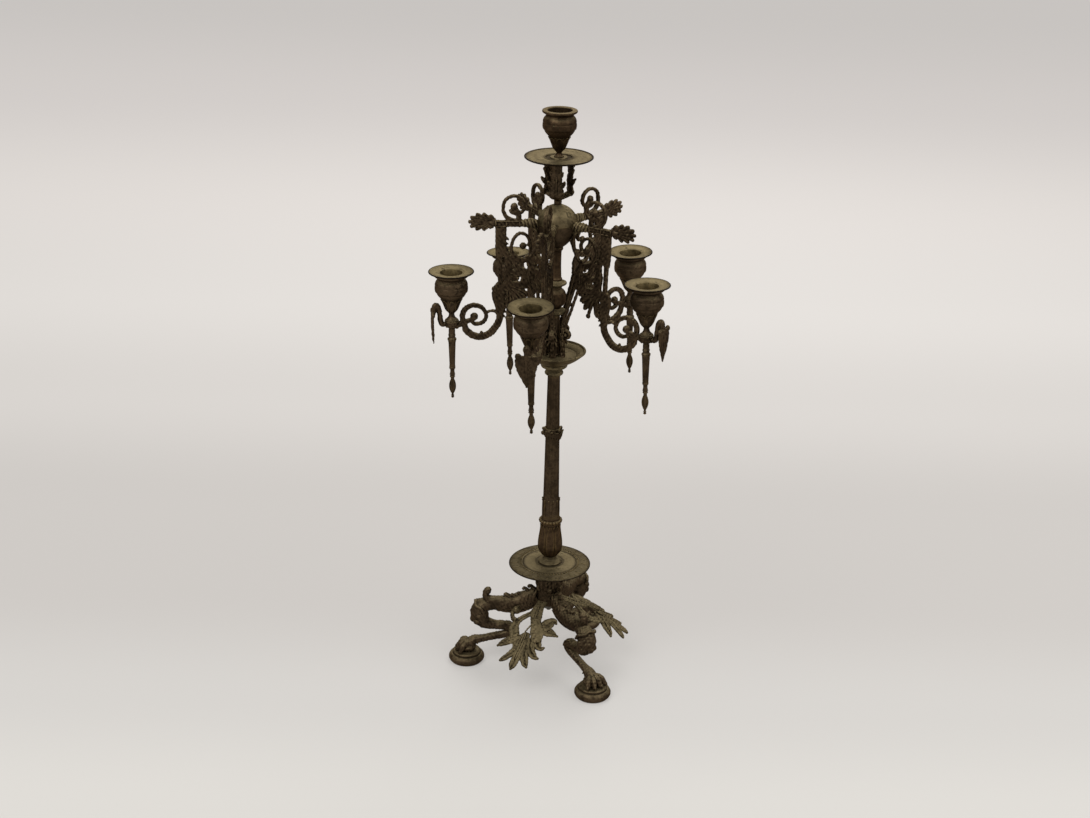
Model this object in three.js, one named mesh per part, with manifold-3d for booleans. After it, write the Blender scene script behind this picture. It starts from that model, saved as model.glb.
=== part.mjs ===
// Six-light candelabrum: tripod foot, tapered stem, five openwork scroll arms and a top light.
// Millimetres, +Z up. The camera side of the object is -Y, and angles round the axis start there.
import * as THREE from 'three';
import { mergeVertices } from 'three/addons/utils/BufferGeometryUtils.js';
import Module from 'manifold-3d';

const wasm = await Module();
wasm.setup();

// Clearances and counts
const seat = 0.3; // gap left between two pieces that touch
const running = 0.35; // radial clearance of a rod or spigot in its bore
const overrun = 1; // how far a cutting shape runs past the face that it leaves
const sink = 0.6; // how deep one cast form runs into the form that carries it
const roundSides = 18;
const discSides = 26;
const nozzleSides = 16;
const slimSides = 8;
const beadSides = 6;
const beadRings = 4;
const legSides = 8;
const claspLeaves = 4;
const palmetteLobes = 11;
const lobeSteps = 3;
const arms = ['left', 'front', 'right', 'back_right', 'back_left'];
const armTurns = [-84.6, -12.6, 59.4, 131.4, -152.2]; // degrees round the axis
const legs = ['left', 'right', 'back'];
const legTurns = [-87.1, 32.9, 152.9];
const leafNames = ['front', 'right', 'back'];
const leafTurns = [-27.1, 92.9, -147.1];

// Driving dimensions of each piece
const pad = {
  reach: 90,
  radius: 19.8,
  torusHeight: 9.2,
  stepRadius: 15.2,
  stepHeight: 3.2,
  toeRadius: 13.6,
};
const hub = { flat: 13, height: 47.5, drop: 13, lip: 2.2, lipHeight: 6 };
const tenon = { radius: 2.6, long: 7 };
const leg = {
  rootHeight: 83.5,
  kneeReach: 76,
  kneeHeight: 57,
  hockReach: 41.5,
  hockHeight: 36,
  thigh: 8.2,
  thighSide: 8.6,
  shank: 4.5,
  paw: 8,
  pawSide: 12,
  toe: 3.9,
  curl: 4.4,
  spread: 2.7,
};
const baseLeaf = {
  below: 6.5, // how far its root lies under the roots of the legs
  reach: 89,
  fall: 46,
  arch: 6,
  half: 29,
  thick: 3,
  ribHalf: 2.6,
};
const baseDisc = {
  radius: 44.2,
  thick: 3,
  ringRadius: 31.7,
  ringHalf: 1.5,
  ringRise: 1.4,
  fall: 1.7,
  lip: 2.1,
};
const collar = { radius: 12.8, height: 7.4, beadRise: 2.2, waist: 6.4 };
const calyx = {
  foot: 6.2,
  belly: 13.3,
  bellyRise: 15.2,
  top: 10.5,
  height: 38.4,
  bead: 2.4,
  beadReach: 12.8,
  crown: 4,
};
const stem = { foot: 9.1, head: 6.7, height: 163.3 };
const clasp = { height: 13, rise: 91, wall: 1, leafLong: 9, leafHalf: 3.4, leafThick: 1.5, tip: 3.6 };
const claspTurn = 10; // degrees
const cap = { ringRadius: 9.6, ringRise: 2.6, neck: 7.4, radius: 14, height: 12.6, foot: 7.2 };
const armDish = { radius: 32.9, base: 12.6, height: 14.5, floorRise: 9, floorRadius: 23, edge: 1.3 };
const socle = { radius: 5, foot: 5.7, footHeight: 3, height: 43.5 };
const shaftRing = { radius: 11.2, height: 7.6, edge: 3.2, neck: 6 };
const knop = { radius: 10.8, foot: 5.4, head: 5.8, height: 21.9 };
const collarDisc = { radius: 11.2, height: 7.5, neck: 6.2, edge: 1.8 };
const sleeve = { foot: 5.8, head: 5.1, height: 34.9, lip: 6.6, lipHeight: 3 };
const bulb = { radius: 20.4, foot: 6.2, cupHeight: 24.6, domeHeight: 19.3, wall: 2.6 };
const tongue = { half: 1.8, thick: 3, long: 5 };
const topShaft = { radius: 3.9, height: 45.8, head: 7.4, headHeight: 2.4 };
const handle = {
  reach: 14,
  side: 7.4,
  thick: 2,
  top: 1.2,
  foot: 5.4,
  leafHalf: 11.4,
  leafRise: 25.6,
  leafOut: 3,
};
const topDish = { radius: 34.9, thick: 1.6, height: 3.3, well: 13.6, boss: 8, bossRise: 1 };
const nozzle = {
  height: 49.9,
  rim: 17.6,
  rimHeight: 2.2,
  neck: 13.9,
  neckDrop: 4.8,
  belly: 17.2,
  bellyDrop: 12.2,
  step: 10.9,
  stepDrop: 25.2,
  cone: 6.8,
  coneDrop: 36.6,
  waist: 2.8,
  waistDrop: 43.2,
  foot: 7.1,
  footEdge: 0.8,
  bell: 4.4,
  bellRise: 2.6,
  bore: 12.3,
  boreDepth: 20,
};
const topFoot = { radius: 5.2, height: 1.2, drop: 46.9 };
const pan = { radius: 23.8, rise: 2, lip: 1.1, hole: 11.2, wall: 0.8, tube: 14, throat: 14.6 };
const pendant = {
  neck: 3.2,
  ringRadius: 3.9,
  ringDrop: 6.9,
  collar: 4.8,
  collarDrop: 11.3,
  head: 4.1,
  headDrop: 13.8,
  tail: 3.2,
  tailDrop: 42.2,
  bead: 3,
  beadDrop: 51.6,
  bud: 3.2,
  budDrop: 63.2,
  point: 1.1,
  pointDrop: 71.8,
  ball: 2.1,
  drop: 76.6,
  edge: 1.2,
};
const spigot = { radius: 1.4, rise: 19 };
const tieRod = { radius: 2.4, tail: 8, headRoom: 10, washer: 7.4, washerThick: 1.2, nut: 5, nutHeight: 4 };
const topSpigot = { radius: 2.2, depth: 8 };

// An arm lies in one upright plane, measured out from the axis and down from the seam of the bulb
const arm = {
  reach: 106.5,
  drop: 111.7,
  thick: 4.4,
  strand: 6,
  barThick: 6,
  barHalf: 3.4,
  huskHalf: 4.7,
  corner: 62.6,
  palmette: 13,
  palmetteHalf: 8.3,
  palmetteThick: 3,
  ribLong: 9,
  lobeDepth: 1.5,
  upperRing: 10.9,
  innerRing: 12,
  sweep: 19.4,
  lowerRing: 12.1,
  eye: 4.3,
  eyeThick: 6.4,
  fanReach: 22,
  strutSpread: 2.3,
  strutRod: 2.6,
  footVolute: 4.2,
  bowl: 7.3,
  bowlHeight: 8.8,
  bowlFoot: 3.3,
  frontSag: 1.9,
  rightLift: 4.5,
  backSag: 12.2,
};
const armSag = [0, arm.frontSag, -arm.rightLift, 0, arm.backSag]; // how far each bowl hangs below its level
const armLeans = [0.7, 5.3, -1.4, -2.3, 3.5]; // degrees that each bowl leans outward
const hangLeaf = { tube: 2.7, out: 20.5, rise: 24.5, half: 11.5, long: 33, thick: 1.7, curl: 2.6 };

// Materials, one per finish seen on the object
function bronze(name, color, roughness) {
  return new THREE.MeshStandardMaterial({ name, color, roughness, metalness: 0.6 });
}
const darkBronze = bronze('dark_bronze', 0x3f372b, 0.62);
const dustyBronze = bronze('dusty_bronze', 0x6b6346, 0.7);
const paleBrass = bronze('pale_brass', 0x978c66, 0.55);
const warmBronze = bronze('warm_bronze', 0x4d4132, 0.6);
const plainSteel = bronze('plain_steel', 0x55524c, 0.5);

const candelabrum = new THREE.Group();

// Shape tools
const radians = THREE.MathUtils.degToRad;

function polar(radius, degrees) {
  return [radius * Math.cos(radians(degrees)), radius * Math.sin(radians(degrees))];
}

function toSolid(geometry) {
  const bare = geometry.clone();
  bare.deleteAttribute('normal');
  bare.deleteAttribute('uv');
  const merged = mergeVertices(bare, seat / 1000);
  const triVerts = Uint32Array.from(merged.index.array);
  const vertProperties = merged.attributes.position.array;
  return new wasm.Manifold(new wasm.Mesh({ numProp: 3, vertProperties, triVerts }));
}

function toGeometry(solid) {
  const mesh = solid.getMesh();
  const geometry = new THREE.BufferGeometry();
  geometry.setAttribute('position', new THREE.BufferAttribute(Float32Array.from(mesh.vertProperties), 3));
  geometry.setIndex(Array.from(mesh.triVerts));
  geometry.computeVertexNormals();
  return geometry;
}

function joined(solids) {
  return solids.reduce((whole, next) => whole.add(next));
}

// A turned body from a profile of [radius, height] points listed from the bottom up, with an optional bore
function turned(profile, sides = roundSides, bore = 0) {
  const inner = Math.max(bore, 0);
  const bottom = profile[0][1];
  const top = profile[profile.length - 1][1];
  const points = [[inner, bottom], ...profile, [inner, top]];
  if (bore > 0) points.push([inner, bottom]);
  return revolved(points, sides);
}

// A turned body from its whole section, which starts and ends on the axis or closes on itself
function revolved(points, sides = roundSides) {
  const lathe = new THREE.LatheGeometry(points.map(([r, z]) => new THREE.Vector2(r, z)), sides);
  return lathe.rotateX(Math.PI / 2);
}

// A closed body through rings of equally many points, with flat ends
function loft(rings) {
  const sides = rings[0].length;
  const positions = rings.flat().flatMap((point) => [point.x, point.y, point.z]);
  const index = [];
  for (let row = 0; row + 1 < rings.length; row += 1) {
    for (let side = 0; side < sides; side += 1) {
      const a = row * sides + side;
      const b = row * sides + ((side + 1) % sides);
      index.push(a, b, b + sides, a, b + sides, a + sides);
    }
  }
  const last = (rings.length - 1) * sides;
  for (let side = 1; side + 1 < sides; side += 1) {
    index.push(0, side + 1, side);
    index.push(last, last + side, last + side + 1);
  }
  const geometry = new THREE.BufferGeometry();
  geometry.setAttribute('position', new THREE.Float32BufferAttribute(positions, 3));
  geometry.setIndex(index);
  return geometry;
}

// An oval limb along a path in the XZ plane; a station is [x, z, half depth in the plane, half width across]
function limb(stations, sides) {
  const rings = stations.map(([x, z, half, side], place) => {
    const before = stations[Math.max(place - 1, 0)];
    const after = stations[Math.min(place + 1, stations.length - 1)];
    const along = new THREE.Vector2(after[0] - before[0], after[1] - before[1]).normalize();
    const ring = [];
    for (let step = 0; step < sides; step += 1) {
      const [c, s] = polar(1, (360 * step) / sides);
      ring.push(new THREE.Vector3(x - along.y * half * c, -side * s, z + along.x * half * c));
    }
    return ring;
  });
  return toSolid(loft(rings));
}

// A leaf lobe with a raised rib: stations are [centre, half width vector, half thickness vector]
function lobe(stations) {
  const rings = stations.map(([centre, wide, deep]) => [
    centre.clone().add(wide),
    centre.clone().add(deep),
    centre.clone().sub(wide),
    centre.clone().sub(deep),
  ]);
  return toSolid(loft(rings));
}

function ball(radius, x, z, y = 0) {
  return toSolid(new THREE.SphereGeometry(radius, beadSides, beadRings)).translate([x, y, z]);
}

// A flat strip of changing width along points [x, z, half width], standing in the XZ plane
function strip(points, thick) {
  const left = [];
  const right = [];
  points.forEach(([x, z, half], place) => {
    const before = points[Math.max(place - 1, 0)];
    const after = points[Math.min(place + 1, points.length - 1)];
    const along = new THREE.Vector2(after[0] - before[0], after[1] - before[1]).normalize();
    left.push(new THREE.Vector2(x - along.y * half, z + along.x * half));
    right.unshift(new THREE.Vector2(x + along.y * half, z - along.x * half));
  });
  return plate(new THREE.Shape([...left, ...right]), thick);
}

function plate(shape, thick) {
  const geometry = new THREE.ExtrudeGeometry(shape, { depth: thick, bevelEnabled: false });
  return toSolid(geometry.rotateX(Math.PI / 2).translate(0, thick / 2, 0));
}

// Points of a spiral round [x, z]; a key is [angle in degrees, radius, half width]
function spiral(x, z, keys, steps) {
  const points = [];
  for (let key = 0; key + 1 < keys.length; key += 1) {
    for (let step = key === 0 ? 0 : 1; step <= steps[key]; step += 1) {
      const share = step / steps[key];
      const next = keys[key + 1];
      const [angle, radius, half] = keys[key].map((value, item) => value + (next[item] - value) * share);
      const [dx, dz] = polar(radius, angle);
      points.push([x + dx, z + dz, half]);
    }
  }
  return points;
}

function add(name, geometry, material, parent = candelabrum) {
  const mesh = new THREE.Mesh(geometry, material);
  mesh.name = name;
  parent.add(mesh);
  return mesh;
}

// A group turned about the axis, so that its +X points at the given angle from the camera side
function spoke(degrees) {
  const group = new THREE.Group();
  group.rotation.z = radians(degrees) - Math.PI / 2;
  candelabrum.add(group);
  return group;
}

// Levels, stacked from the floor up
const padTop = pad.torusHeight + pad.stepHeight;
const hubBottom = leg.rootHeight - hub.drop;
const discBottom = hubBottom + hub.height + seat;
const collarBottom = discBottom + baseDisc.thick + seat;
const calyxBottom = collarBottom + collar.height + seat;
const calyxTop = calyxBottom + calyx.height + calyx.bead * 2 + calyx.crown;
const stemBottom = calyxTop + seat;
const capBottom = stemBottom + stem.height + seat;
const dishBottom = capBottom + cap.height + seat;
const dishFloor = dishBottom + armDish.floorRise;
const socleBottom = dishFloor + seat;
const ringBottom = socleBottom + socle.height + seat;
const knopBottom = ringBottom + shaftRing.height + seat;
const collarDiscBottom = knopBottom + knop.height + seat;
const sleeveBottom = collarDiscBottom + collarDisc.height + seat;
const cupBottom = sleeveBottom + sleeve.height + seat;
const seam = cupBottom + bulb.cupHeight;
const domeBottom = seam + seat;
const shaftBottom = domeBottom + bulb.domeHeight + seat;
const topDishBottom = shaftBottom + topShaft.height + seat;
const topDishFloor = topDishBottom + topDish.thick + topDish.bossRise;
const rodBore = tieRod.radius + running;

// Foot pads
function footPad(name, turn) {
  const profile = [
    [pad.radius - pad.torusHeight / 4, 0],
    [pad.radius, pad.torusHeight / 3],
    [pad.radius - pad.torusHeight / 8, pad.torusHeight * 0.75],
    [pad.radius - pad.torusHeight / 3, pad.torusHeight],
    [pad.stepRadius, pad.torusHeight],
    [pad.stepRadius, padTop - pad.stepHeight / 3],
    [pad.toeRadius, padTop],
  ];
  add(name, turned(profile), darkBronze, spoke(turn)).position.x = pad.reach;
}
legs.forEach((name, place) => footPad(`foot_pad_${name}`, legTurns[place]));

// A round tenon along +X that enters the hub
function tenonSolid(radius, long) {
  const start = hub.flat - long;
  const end = hub.flat + seat + overrun;
  const bar = new THREE.CylinderGeometry(radius, radius, end - start, slimSides).rotateZ(Math.PI / 2);
  return toSolid(bar).translate([(start + end) / 2, 0, 0]);
}

// The block inside the hub's flat, which trims the root of a leg or a leaf
function hubFace() {
  const face = hub.flat + seat;
  const block = new THREE.BoxGeometry(hub.height, hub.height * 2, hub.height * 2);
  return toSolid(block).translate([face - hub.height / 2, 0, leg.rootHeight]);
}

// Legs: acanthus thigh, knee, hock, shank and a paw with four toes
const toeTurn = 22; // degrees from one toe to the next
function legSolid() {
  const root = hub.flat + seat;
  const run = leg.kneeReach - root;
  const fall = leg.rootHeight - leg.kneeHeight;
  const shankRun = pad.reach - leg.hockReach;
  const shankFall = leg.hockHeight - padTop;
  const body = limb(
    [
      [root, leg.rootHeight, leg.thigh * 1.2, leg.thighSide * 0.86],
      [root + run * 0.14, leg.rootHeight - fall * 0.2, leg.thigh * 1.1, leg.thighSide * 0.95],
      [root + run * 0.3, leg.rootHeight - fall * 0.42, leg.thigh, leg.thighSide],
      [root + run * 0.62, leg.rootHeight - fall * 0.48, leg.thigh, leg.thighSide],
      [root + run * 0.84, leg.rootHeight - fall * 0.54, leg.thigh * 1.05, leg.thighSide],
      [root + run * 0.98, leg.kneeHeight + fall * 0.2, leg.thigh * 1.2, leg.thighSide * 0.96],
      [leg.kneeReach, leg.kneeHeight - fall * 0.1, leg.thigh * 1.15, leg.thighSide * 0.9],
      [leg.kneeReach - run * 0.13, leg.hockHeight + leg.thigh * 1.15, leg.thigh * 0.9, leg.thighSide * 0.8],
      [leg.kneeReach - run * 0.36, leg.hockHeight + leg.thigh * 0.88, leg.thigh * 0.7, leg.thighSide * 0.68],
      [leg.hockReach + leg.shank * 0.8, leg.hockHeight + leg.shank * 1.1, leg.shank * 1.25, leg.shank * 1.3],
      [leg.hockReach, leg.hockHeight, leg.shank * 1.25, leg.shank * 1.25],
      [leg.hockReach + leg.shank * 1.2, leg.hockHeight - leg.shank * 1.05, leg.shank * 1.15, leg.shank * 1.1],
      [leg.hockReach + shankRun * 0.34, leg.hockHeight - shankFall * 0.28, leg.shank, leg.shank],
      [leg.hockReach + shankRun * 0.66, leg.hockHeight - shankFall * 0.42, leg.shank, leg.shank * 1.05],
      [leg.hockReach + shankRun * 0.84, leg.hockHeight - shankFall * 0.5, leg.shank * 1.2, leg.shank * 1.5],
      [pad.reach, padTop + leg.paw * 0.7, leg.paw * 0.95, leg.pawSide * 0.86],
      [pad.reach + leg.paw * 0.9, padTop + leg.paw * 0.4, leg.paw * 0.5, leg.pawSide * 0.8],
    ],
    legSides,
  );
  const toes = [-1.5, -0.5, 0.5, 1.5].map((place) => {
    const start = pad.reach - leg.paw * 0.2;
    const toe = limb(
      [
        [start + leg.paw * 0.5, padTop + leg.toe * 1.8, leg.toe * 0.8, leg.toe * 0.8],
        [start + leg.paw * 1.5, padTop + leg.toe * 1.2, leg.toe, leg.toe * 0.9],
        [start + leg.paw * 2.1, padTop + leg.toe * 0.6, leg.toe * 0.5, leg.toe * 0.5],
      ],
      beadSides,
    );
    const fanned = toe.translate([-start, 0, 0]).rotate([0, 0, place * toeTurn]);
    return fanned.translate([start, place * leg.spread, 0]);
  });
  // The sheath ends in a curled tip above the knee
  const tipX = leg.kneeReach - leg.curl * 1.8;
  const tipZ = leg.rootHeight + leg.curl * 0.4;
  const curl = limb(
    [
      [tipX - leg.curl * 1.6, tipZ - leg.curl * 3, leg.curl * 0.9, leg.curl * 1.5],
      [tipX - leg.curl * 0.1, tipZ - leg.curl * 2, leg.curl * 0.85, leg.curl * 1.3],
      [tipX + leg.curl * 0.5, tipZ - leg.curl * 0.6, leg.curl * 0.8, leg.curl * 1.1],
      [tipX, tipZ + leg.curl * 0.5, leg.curl * 0.75, leg.curl],
      [tipX - leg.curl * 1.1, tipZ + leg.curl * 0.4, leg.curl * 0.6, leg.curl * 0.9],
    ],
    beadSides,
  );
  const sole = new THREE.BoxGeometry(pad.radius * 4, pad.radius * 4, pad.radius);
  const floor = toSolid(sole).translate([pad.reach, 0, padTop + seat - pad.radius / 2]);
  const peg = tenonSolid(tenon.radius, tenon.long).translate([0, 0, leg.rootHeight]);
  return joined([body.subtract(hubFace()), ...toes, curl, peg]).subtract(floor);
}
const legGeometry = toGeometry(legSolid());
legs.forEach((name, place) => add(`leg_${name}`, legGeometry, darkBronze, spoke(legTurns[place])));

const leafRoot = leg.rootHeight - baseLeaf.below;
// Hanging base leaves: a lobed outline bent over an arched, falling surface, with a midrib.
// Shares run along the leaf from the hub to its tip, and out to each side
const halfLeafShares = [
  [0, 0.14],
  [0.09, 0.17],
  [0.13, 0.38],
  [0.1, 0.5],
  [0.1, 0.62],
  [0.14, 0.73],
  [0.18, 0.69],
  [0.19, 0.58],
  [0.17, 0.5],
  [0.2, 0.44],
  [0.21, 0.8],
  [0.23, 1.02],
  [0.3, 1.13],
  [0.36, 0.98],
  [0.37, 0.74],
  [0.43, 0.86],
  [0.53, 0.9],
  [0.54, 0.72],
  [0.51, 0.53],
  [0.64, 0.86],
  [0.7, 0.91],
  [0.7, 0.72],
  [0.61, 0.33],
  [0.8, 0.59],
  [0.88, 0.63],
  [0.87, 0.43],
  [0.74, 0.16],
  [0.85, 0.22],
  [0.93, 0.19],
];
const leafHoleShares = [
  [0.2, 0.2],
  [0.3, 0.17],
  [0.39, 0.2],
  [0.37, 0.36],
  [0.26, 0.38],
];
function baseLeafSolid() {
  const start = hub.flat + seat;
  const run = baseLeaf.reach - start;
  const bent = (along, across, depth) => {
    const lift = baseLeaf.arch * (along * (1 - along) * 3 - across * across);
    return new THREE.Vector3(
      start + run * along,
      across * baseLeaf.half,
      leafRoot - baseLeaf.fall * along + lift + depth * baseLeaf.thick,
    );
  };
  const point = ([along, across]) => new THREE.Vector2(along, across);
  const mirrored = (shares) => shares.map(([along, across]) => [along, -across]);
  const outline = [...mirrored(halfLeafShares), [1, 0], ...halfLeafShares.slice().reverse()].map(point);
  const shape = new THREE.Shape(outline);
  shape.holes = [leafHoleShares, mirrored(leafHoleShares)].map((hole) => new THREE.Path(hole.map(point)));
  const geometry = new THREE.ExtrudeGeometry(shape, { depth: 1, bevelEnabled: false });
  const position = geometry.attributes.position;
  for (let vertex = 0; vertex < position.count; vertex += 1) {
    const at = bent(position.getX(vertex), position.getY(vertex), position.getZ(vertex) - 1);
    position.setXYZ(vertex, at.x, at.y, at.z);
  }
  const rib = [0, 0.2, 0.5, 0.8, 0.97].map((along) => {
    const at = bent(along, 0, 0);
    return [at.x, at.z, baseLeaf.ribHalf, baseLeaf.ribHalf * (1.6 - along)];
  });
  const peg = tenonSolid(tenon.radius, tenon.long).translate([0, 0, leafRoot]);
  return joined([toSolid(geometry), limb(rib, beadSides)]).subtract(hubFace()).add(peg);
}
const baseLeafGeometry = toGeometry(baseLeafSolid());
leafNames.forEach((name, place) => {
  add(`base_leaf_${name}`, baseLeafGeometry, dustyBronze, spoke(leafTurns[place]));
});

// Base hub: six flats for three legs and three leaves, bored for the tie rod
function hubSolid() {
  const corner = hub.flat / Math.cos(Math.PI / 6);
  const blockHeight = hub.height - hub.lipHeight;
  const block = new THREE.CylinderGeometry(corner, corner, blockHeight, 6).rotateX(Math.PI / 2);
  const turn = radians(legTurns[0]) + Math.PI / 6;
  const prism = toSolid(block.rotateZ(turn)).translate([0, 0, hubBottom + blockHeight / 2]);
  const lipBottom = hubBottom + hub.height - hub.lipHeight - sink;
  const lip = turned([
    [hub.flat, lipBottom],
    [hub.flat + hub.lip, lipBottom + hub.lipHeight / 2],
    [hub.flat + hub.lip, hubBottom + hub.height],
  ]);
  const boreEnds = [hubBottom - overrun, discBottom + overrun];
  const bore = toSolid(turned(boreEnds.map((level) => [rodBore, level]), slimSides));
  const socket = tenonSolid(tenon.radius + running, tenon.long + running);
  const socketAt = (turn, level) => socket.translate([0, 0, level]).rotate([0, 0, turn - 90]);
  const sockets = [
    ...legTurns.map((turn) => socketAt(turn, leg.rootHeight)),
    ...leafTurns.map((turn) => socketAt(turn, leafRoot)),
  ];
  return sockets.reduce((body, hole) => body.subtract(hole), prism.add(toSolid(lip)).subtract(bore));
}
add('base_hub', toGeometry(hubSolid()), darkBronze);

// Base disc with its raised ring and falling leaf band
function baseDiscProfile() {
  const top = discBottom + baseDisc.thick;
  return [
    [baseDisc.radius - baseDisc.lip, discBottom + baseDisc.fall - baseDisc.lip / 2],
    [baseDisc.radius, discBottom + baseDisc.thick - baseDisc.fall - baseDisc.lip / 3],
    [baseDisc.radius, top - baseDisc.fall],
    [baseDisc.ringRadius + baseDisc.ringHalf, top],
    [baseDisc.ringRadius, top + baseDisc.ringRise],
    [baseDisc.ringRadius - baseDisc.ringHalf, top],
  ];
}
function baseDiscGeometry() {
  const top = discBottom + baseDisc.thick;
  const profile = [[baseDisc.ringRadius, discBottom], ...baseDiscProfile(), [rodBore + overrun, top]];
  return turned(profile, discSides, rodBore);
}
add('base_disc', baseDiscGeometry(), dustyBronze);

// Foot collar, calyx with bead ring, stem and its cap
const collarProfile = [
  [collar.radius, collarBottom],
  [collar.radius, collarBottom + collar.beadRise],
  [(collar.radius + collar.waist) / 2, collarBottom + collar.beadRise * 1.6],
  [collar.waist * 1.35, collarBottom + collar.height * 0.72],
  [collar.waist, collarBottom + collar.height],
];
add('foot_collar', turned(collarProfile, roundSides, rodBore), dustyBronze);

const bellyLevel = calyxBottom + calyx.bellyRise;
const beadLevel = calyxBottom + calyx.height + calyx.bead;
const calyxProfile = [
  [calyx.foot, calyxBottom],
  [calyx.belly * 0.82, calyxBottom + calyx.bellyRise * 0.3],
  [calyx.belly * 0.97, calyxBottom + calyx.bellyRise * 0.65],
  [calyx.belly, bellyLevel],
  [calyx.top, beadLevel - calyx.bead],
  [calyx.beadReach, beadLevel - calyx.bead / 2],
  [calyx.beadReach, beadLevel + calyx.bead / 2],
  [calyx.top, beadLevel + calyx.bead],
  [stem.foot + calyx.crown / 8, calyxTop],
];
add('calyx', turned(calyxProfile, roundSides, rodBore), warmBronze);

const stemTop = stemBottom + stem.height;
const stemProfile = [[stem.foot, stemBottom], [stem.head, stemTop]];
add('stem', turned(stemProfile, roundSides, rodBore), darkBronze);

// Leaf clasp, a sleeve round the stem with curled leaves
const stemRadius = (z) => stem.foot + ((stem.head - stem.foot) * (z - stemBottom)) / stem.height;
function claspSolid() {
  const bottom = stemBottom + clasp.rise;
  const top = bottom + clasp.height;
  const inner = (z) => stemRadius(z) + seat;
  const ring = [
    [inner(bottom), bottom],
    [inner(bottom) + clasp.wall, bottom],
    [inner(top) + clasp.wall, top],
    [inner(top), top],
    [inner(bottom), bottom],
  ];
  const points = ring.map(([r, z]) => new THREE.Vector2(r, z));
  const sleeveSolid = toSolid(new THREE.LatheGeometry(points, roundSides).rotateX(Math.PI / 2));
  const leaves = [];
  for (let place = 0; place < claspLeaves; place += 1) {
    const foot = bottom + (place % 2) * clasp.leafLong * 0.55;
    const skin = inner(foot) + clasp.wall;
    const at = (out, up, width, depth) => [
      new THREE.Vector3(skin + out, 0, foot + up),
      new THREE.Vector3(0, clasp.leafHalf * width, 0),
      new THREE.Vector3(-clasp.leafThick * depth, 0, 0),
    ];
    const leaf = lobe([
      at(0, 0, 0.6, 0.4),
      at(clasp.leafThick * 0.2, clasp.leafLong * 0.45, 1, 0.8),
      at(clasp.leafThick * 0.7, clasp.leafLong * 0.8, 0.8, 0.7),
      at(clasp.tip, clasp.leafLong, 0.35, 0.6),
    ]);
    leaves.push(leaf.rotate([0, 0, (360 * place) / claspLeaves + claspTurn]));
  }
  return joined([sleeveSolid, ...leaves]);
}
add('stem_clasp', toGeometry(claspSolid()), darkBronze);

const capProfile = [
  [cap.foot, capBottom],
  [cap.ringRadius, capBottom + cap.ringRise / 2],
  [cap.ringRadius, capBottom + cap.ringRise * 1.4],
  [cap.neck, capBottom + cap.ringRise * 2],
  [cap.neck * 1.1, capBottom + cap.height * 0.55],
  [cap.radius, capBottom + cap.height * 0.72],
  [cap.radius, capBottom + cap.height],
];
add('stem_cap', turned(capProfile, roundSides, rodBore), dustyBronze);

// Arm dish: a shallow bowl whose floor carries the struts
const dishTop = dishBottom + armDish.height;
const dishProfile = [
  [armDish.base, dishBottom],
  [armDish.base + (armDish.radius - armDish.base) * 0.4, dishBottom + armDish.height * 0.26],
  [armDish.radius - armDish.edge * 2, dishTop - armDish.edge * 3],
  [armDish.radius, dishTop - armDish.edge],
  [armDish.radius - armDish.edge / 2, dishTop],
  [armDish.radius - armDish.edge * 2, dishTop - armDish.edge],
  [armDish.floorRadius, dishFloor],
];
add('arm_dish', turned(dishProfile, discSides, rodBore), dustyBronze);

// Shaft between the arm dish and the bulb
const socleProfile = [
  [socle.foot, socleBottom],
  [socle.foot, socleBottom + socle.footHeight * 0.4],
  [socle.radius, socleBottom + socle.footHeight],
  [socle.radius, socleBottom + socle.height],
];
add('shaft_socle', turned(socleProfile, slimSides * 2, rodBore), darkBronze);

const ringMiddle = ringBottom + shaftRing.height / 2;
const ringProfile = [
  [shaftRing.neck, ringBottom],
  [shaftRing.radius, ringMiddle - shaftRing.edge / 2],
  [shaftRing.radius, ringMiddle + shaftRing.edge / 2],
  [shaftRing.neck, ringBottom + shaftRing.height],
];
add('shaft_ring', turned(ringProfile, roundSides, rodBore), dustyBronze);

const knopShares = [
  [0, 0],
  [0.62, 0.12],
  [0.94, 0.36],
  [1, 0.6],
  [0.86, 0.82],
];
const knopProfile = knopShares.map(([out, up]) => [
  knop.foot + (knop.radius - knop.foot) * out,
  knopBottom + knop.height * up,
]);
knopProfile.push([knop.head, knopBottom + knop.height]);
add('pear_knop', turned(knopProfile, roundSides, rodBore), warmBronze);

const discMiddle = collarDiscBottom + collarDisc.height / 2;
const collarDiscProfile = [
  [collarDisc.neck, collarDiscBottom],
  [collarDisc.radius, discMiddle],
  [collarDisc.radius, discMiddle + collarDisc.edge],
  [collarDisc.neck, collarDiscBottom + collarDisc.height],
];
add('collar_disc', turned(collarDiscProfile, roundSides, rodBore), dustyBronze);

const sleeveTop = sleeveBottom + sleeve.height;
const sleeveProfile = [
  [sleeve.foot, sleeveBottom],
  [sleeve.head, sleeveTop - sleeve.lipHeight],
  [sleeve.lip, sleeveTop - sleeve.lipHeight],
  [sleeve.lip, sleeveTop],
];
add('shaft_sleeve', turned(sleeveProfile, roundSides, rodBore), warmBronze);

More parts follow.
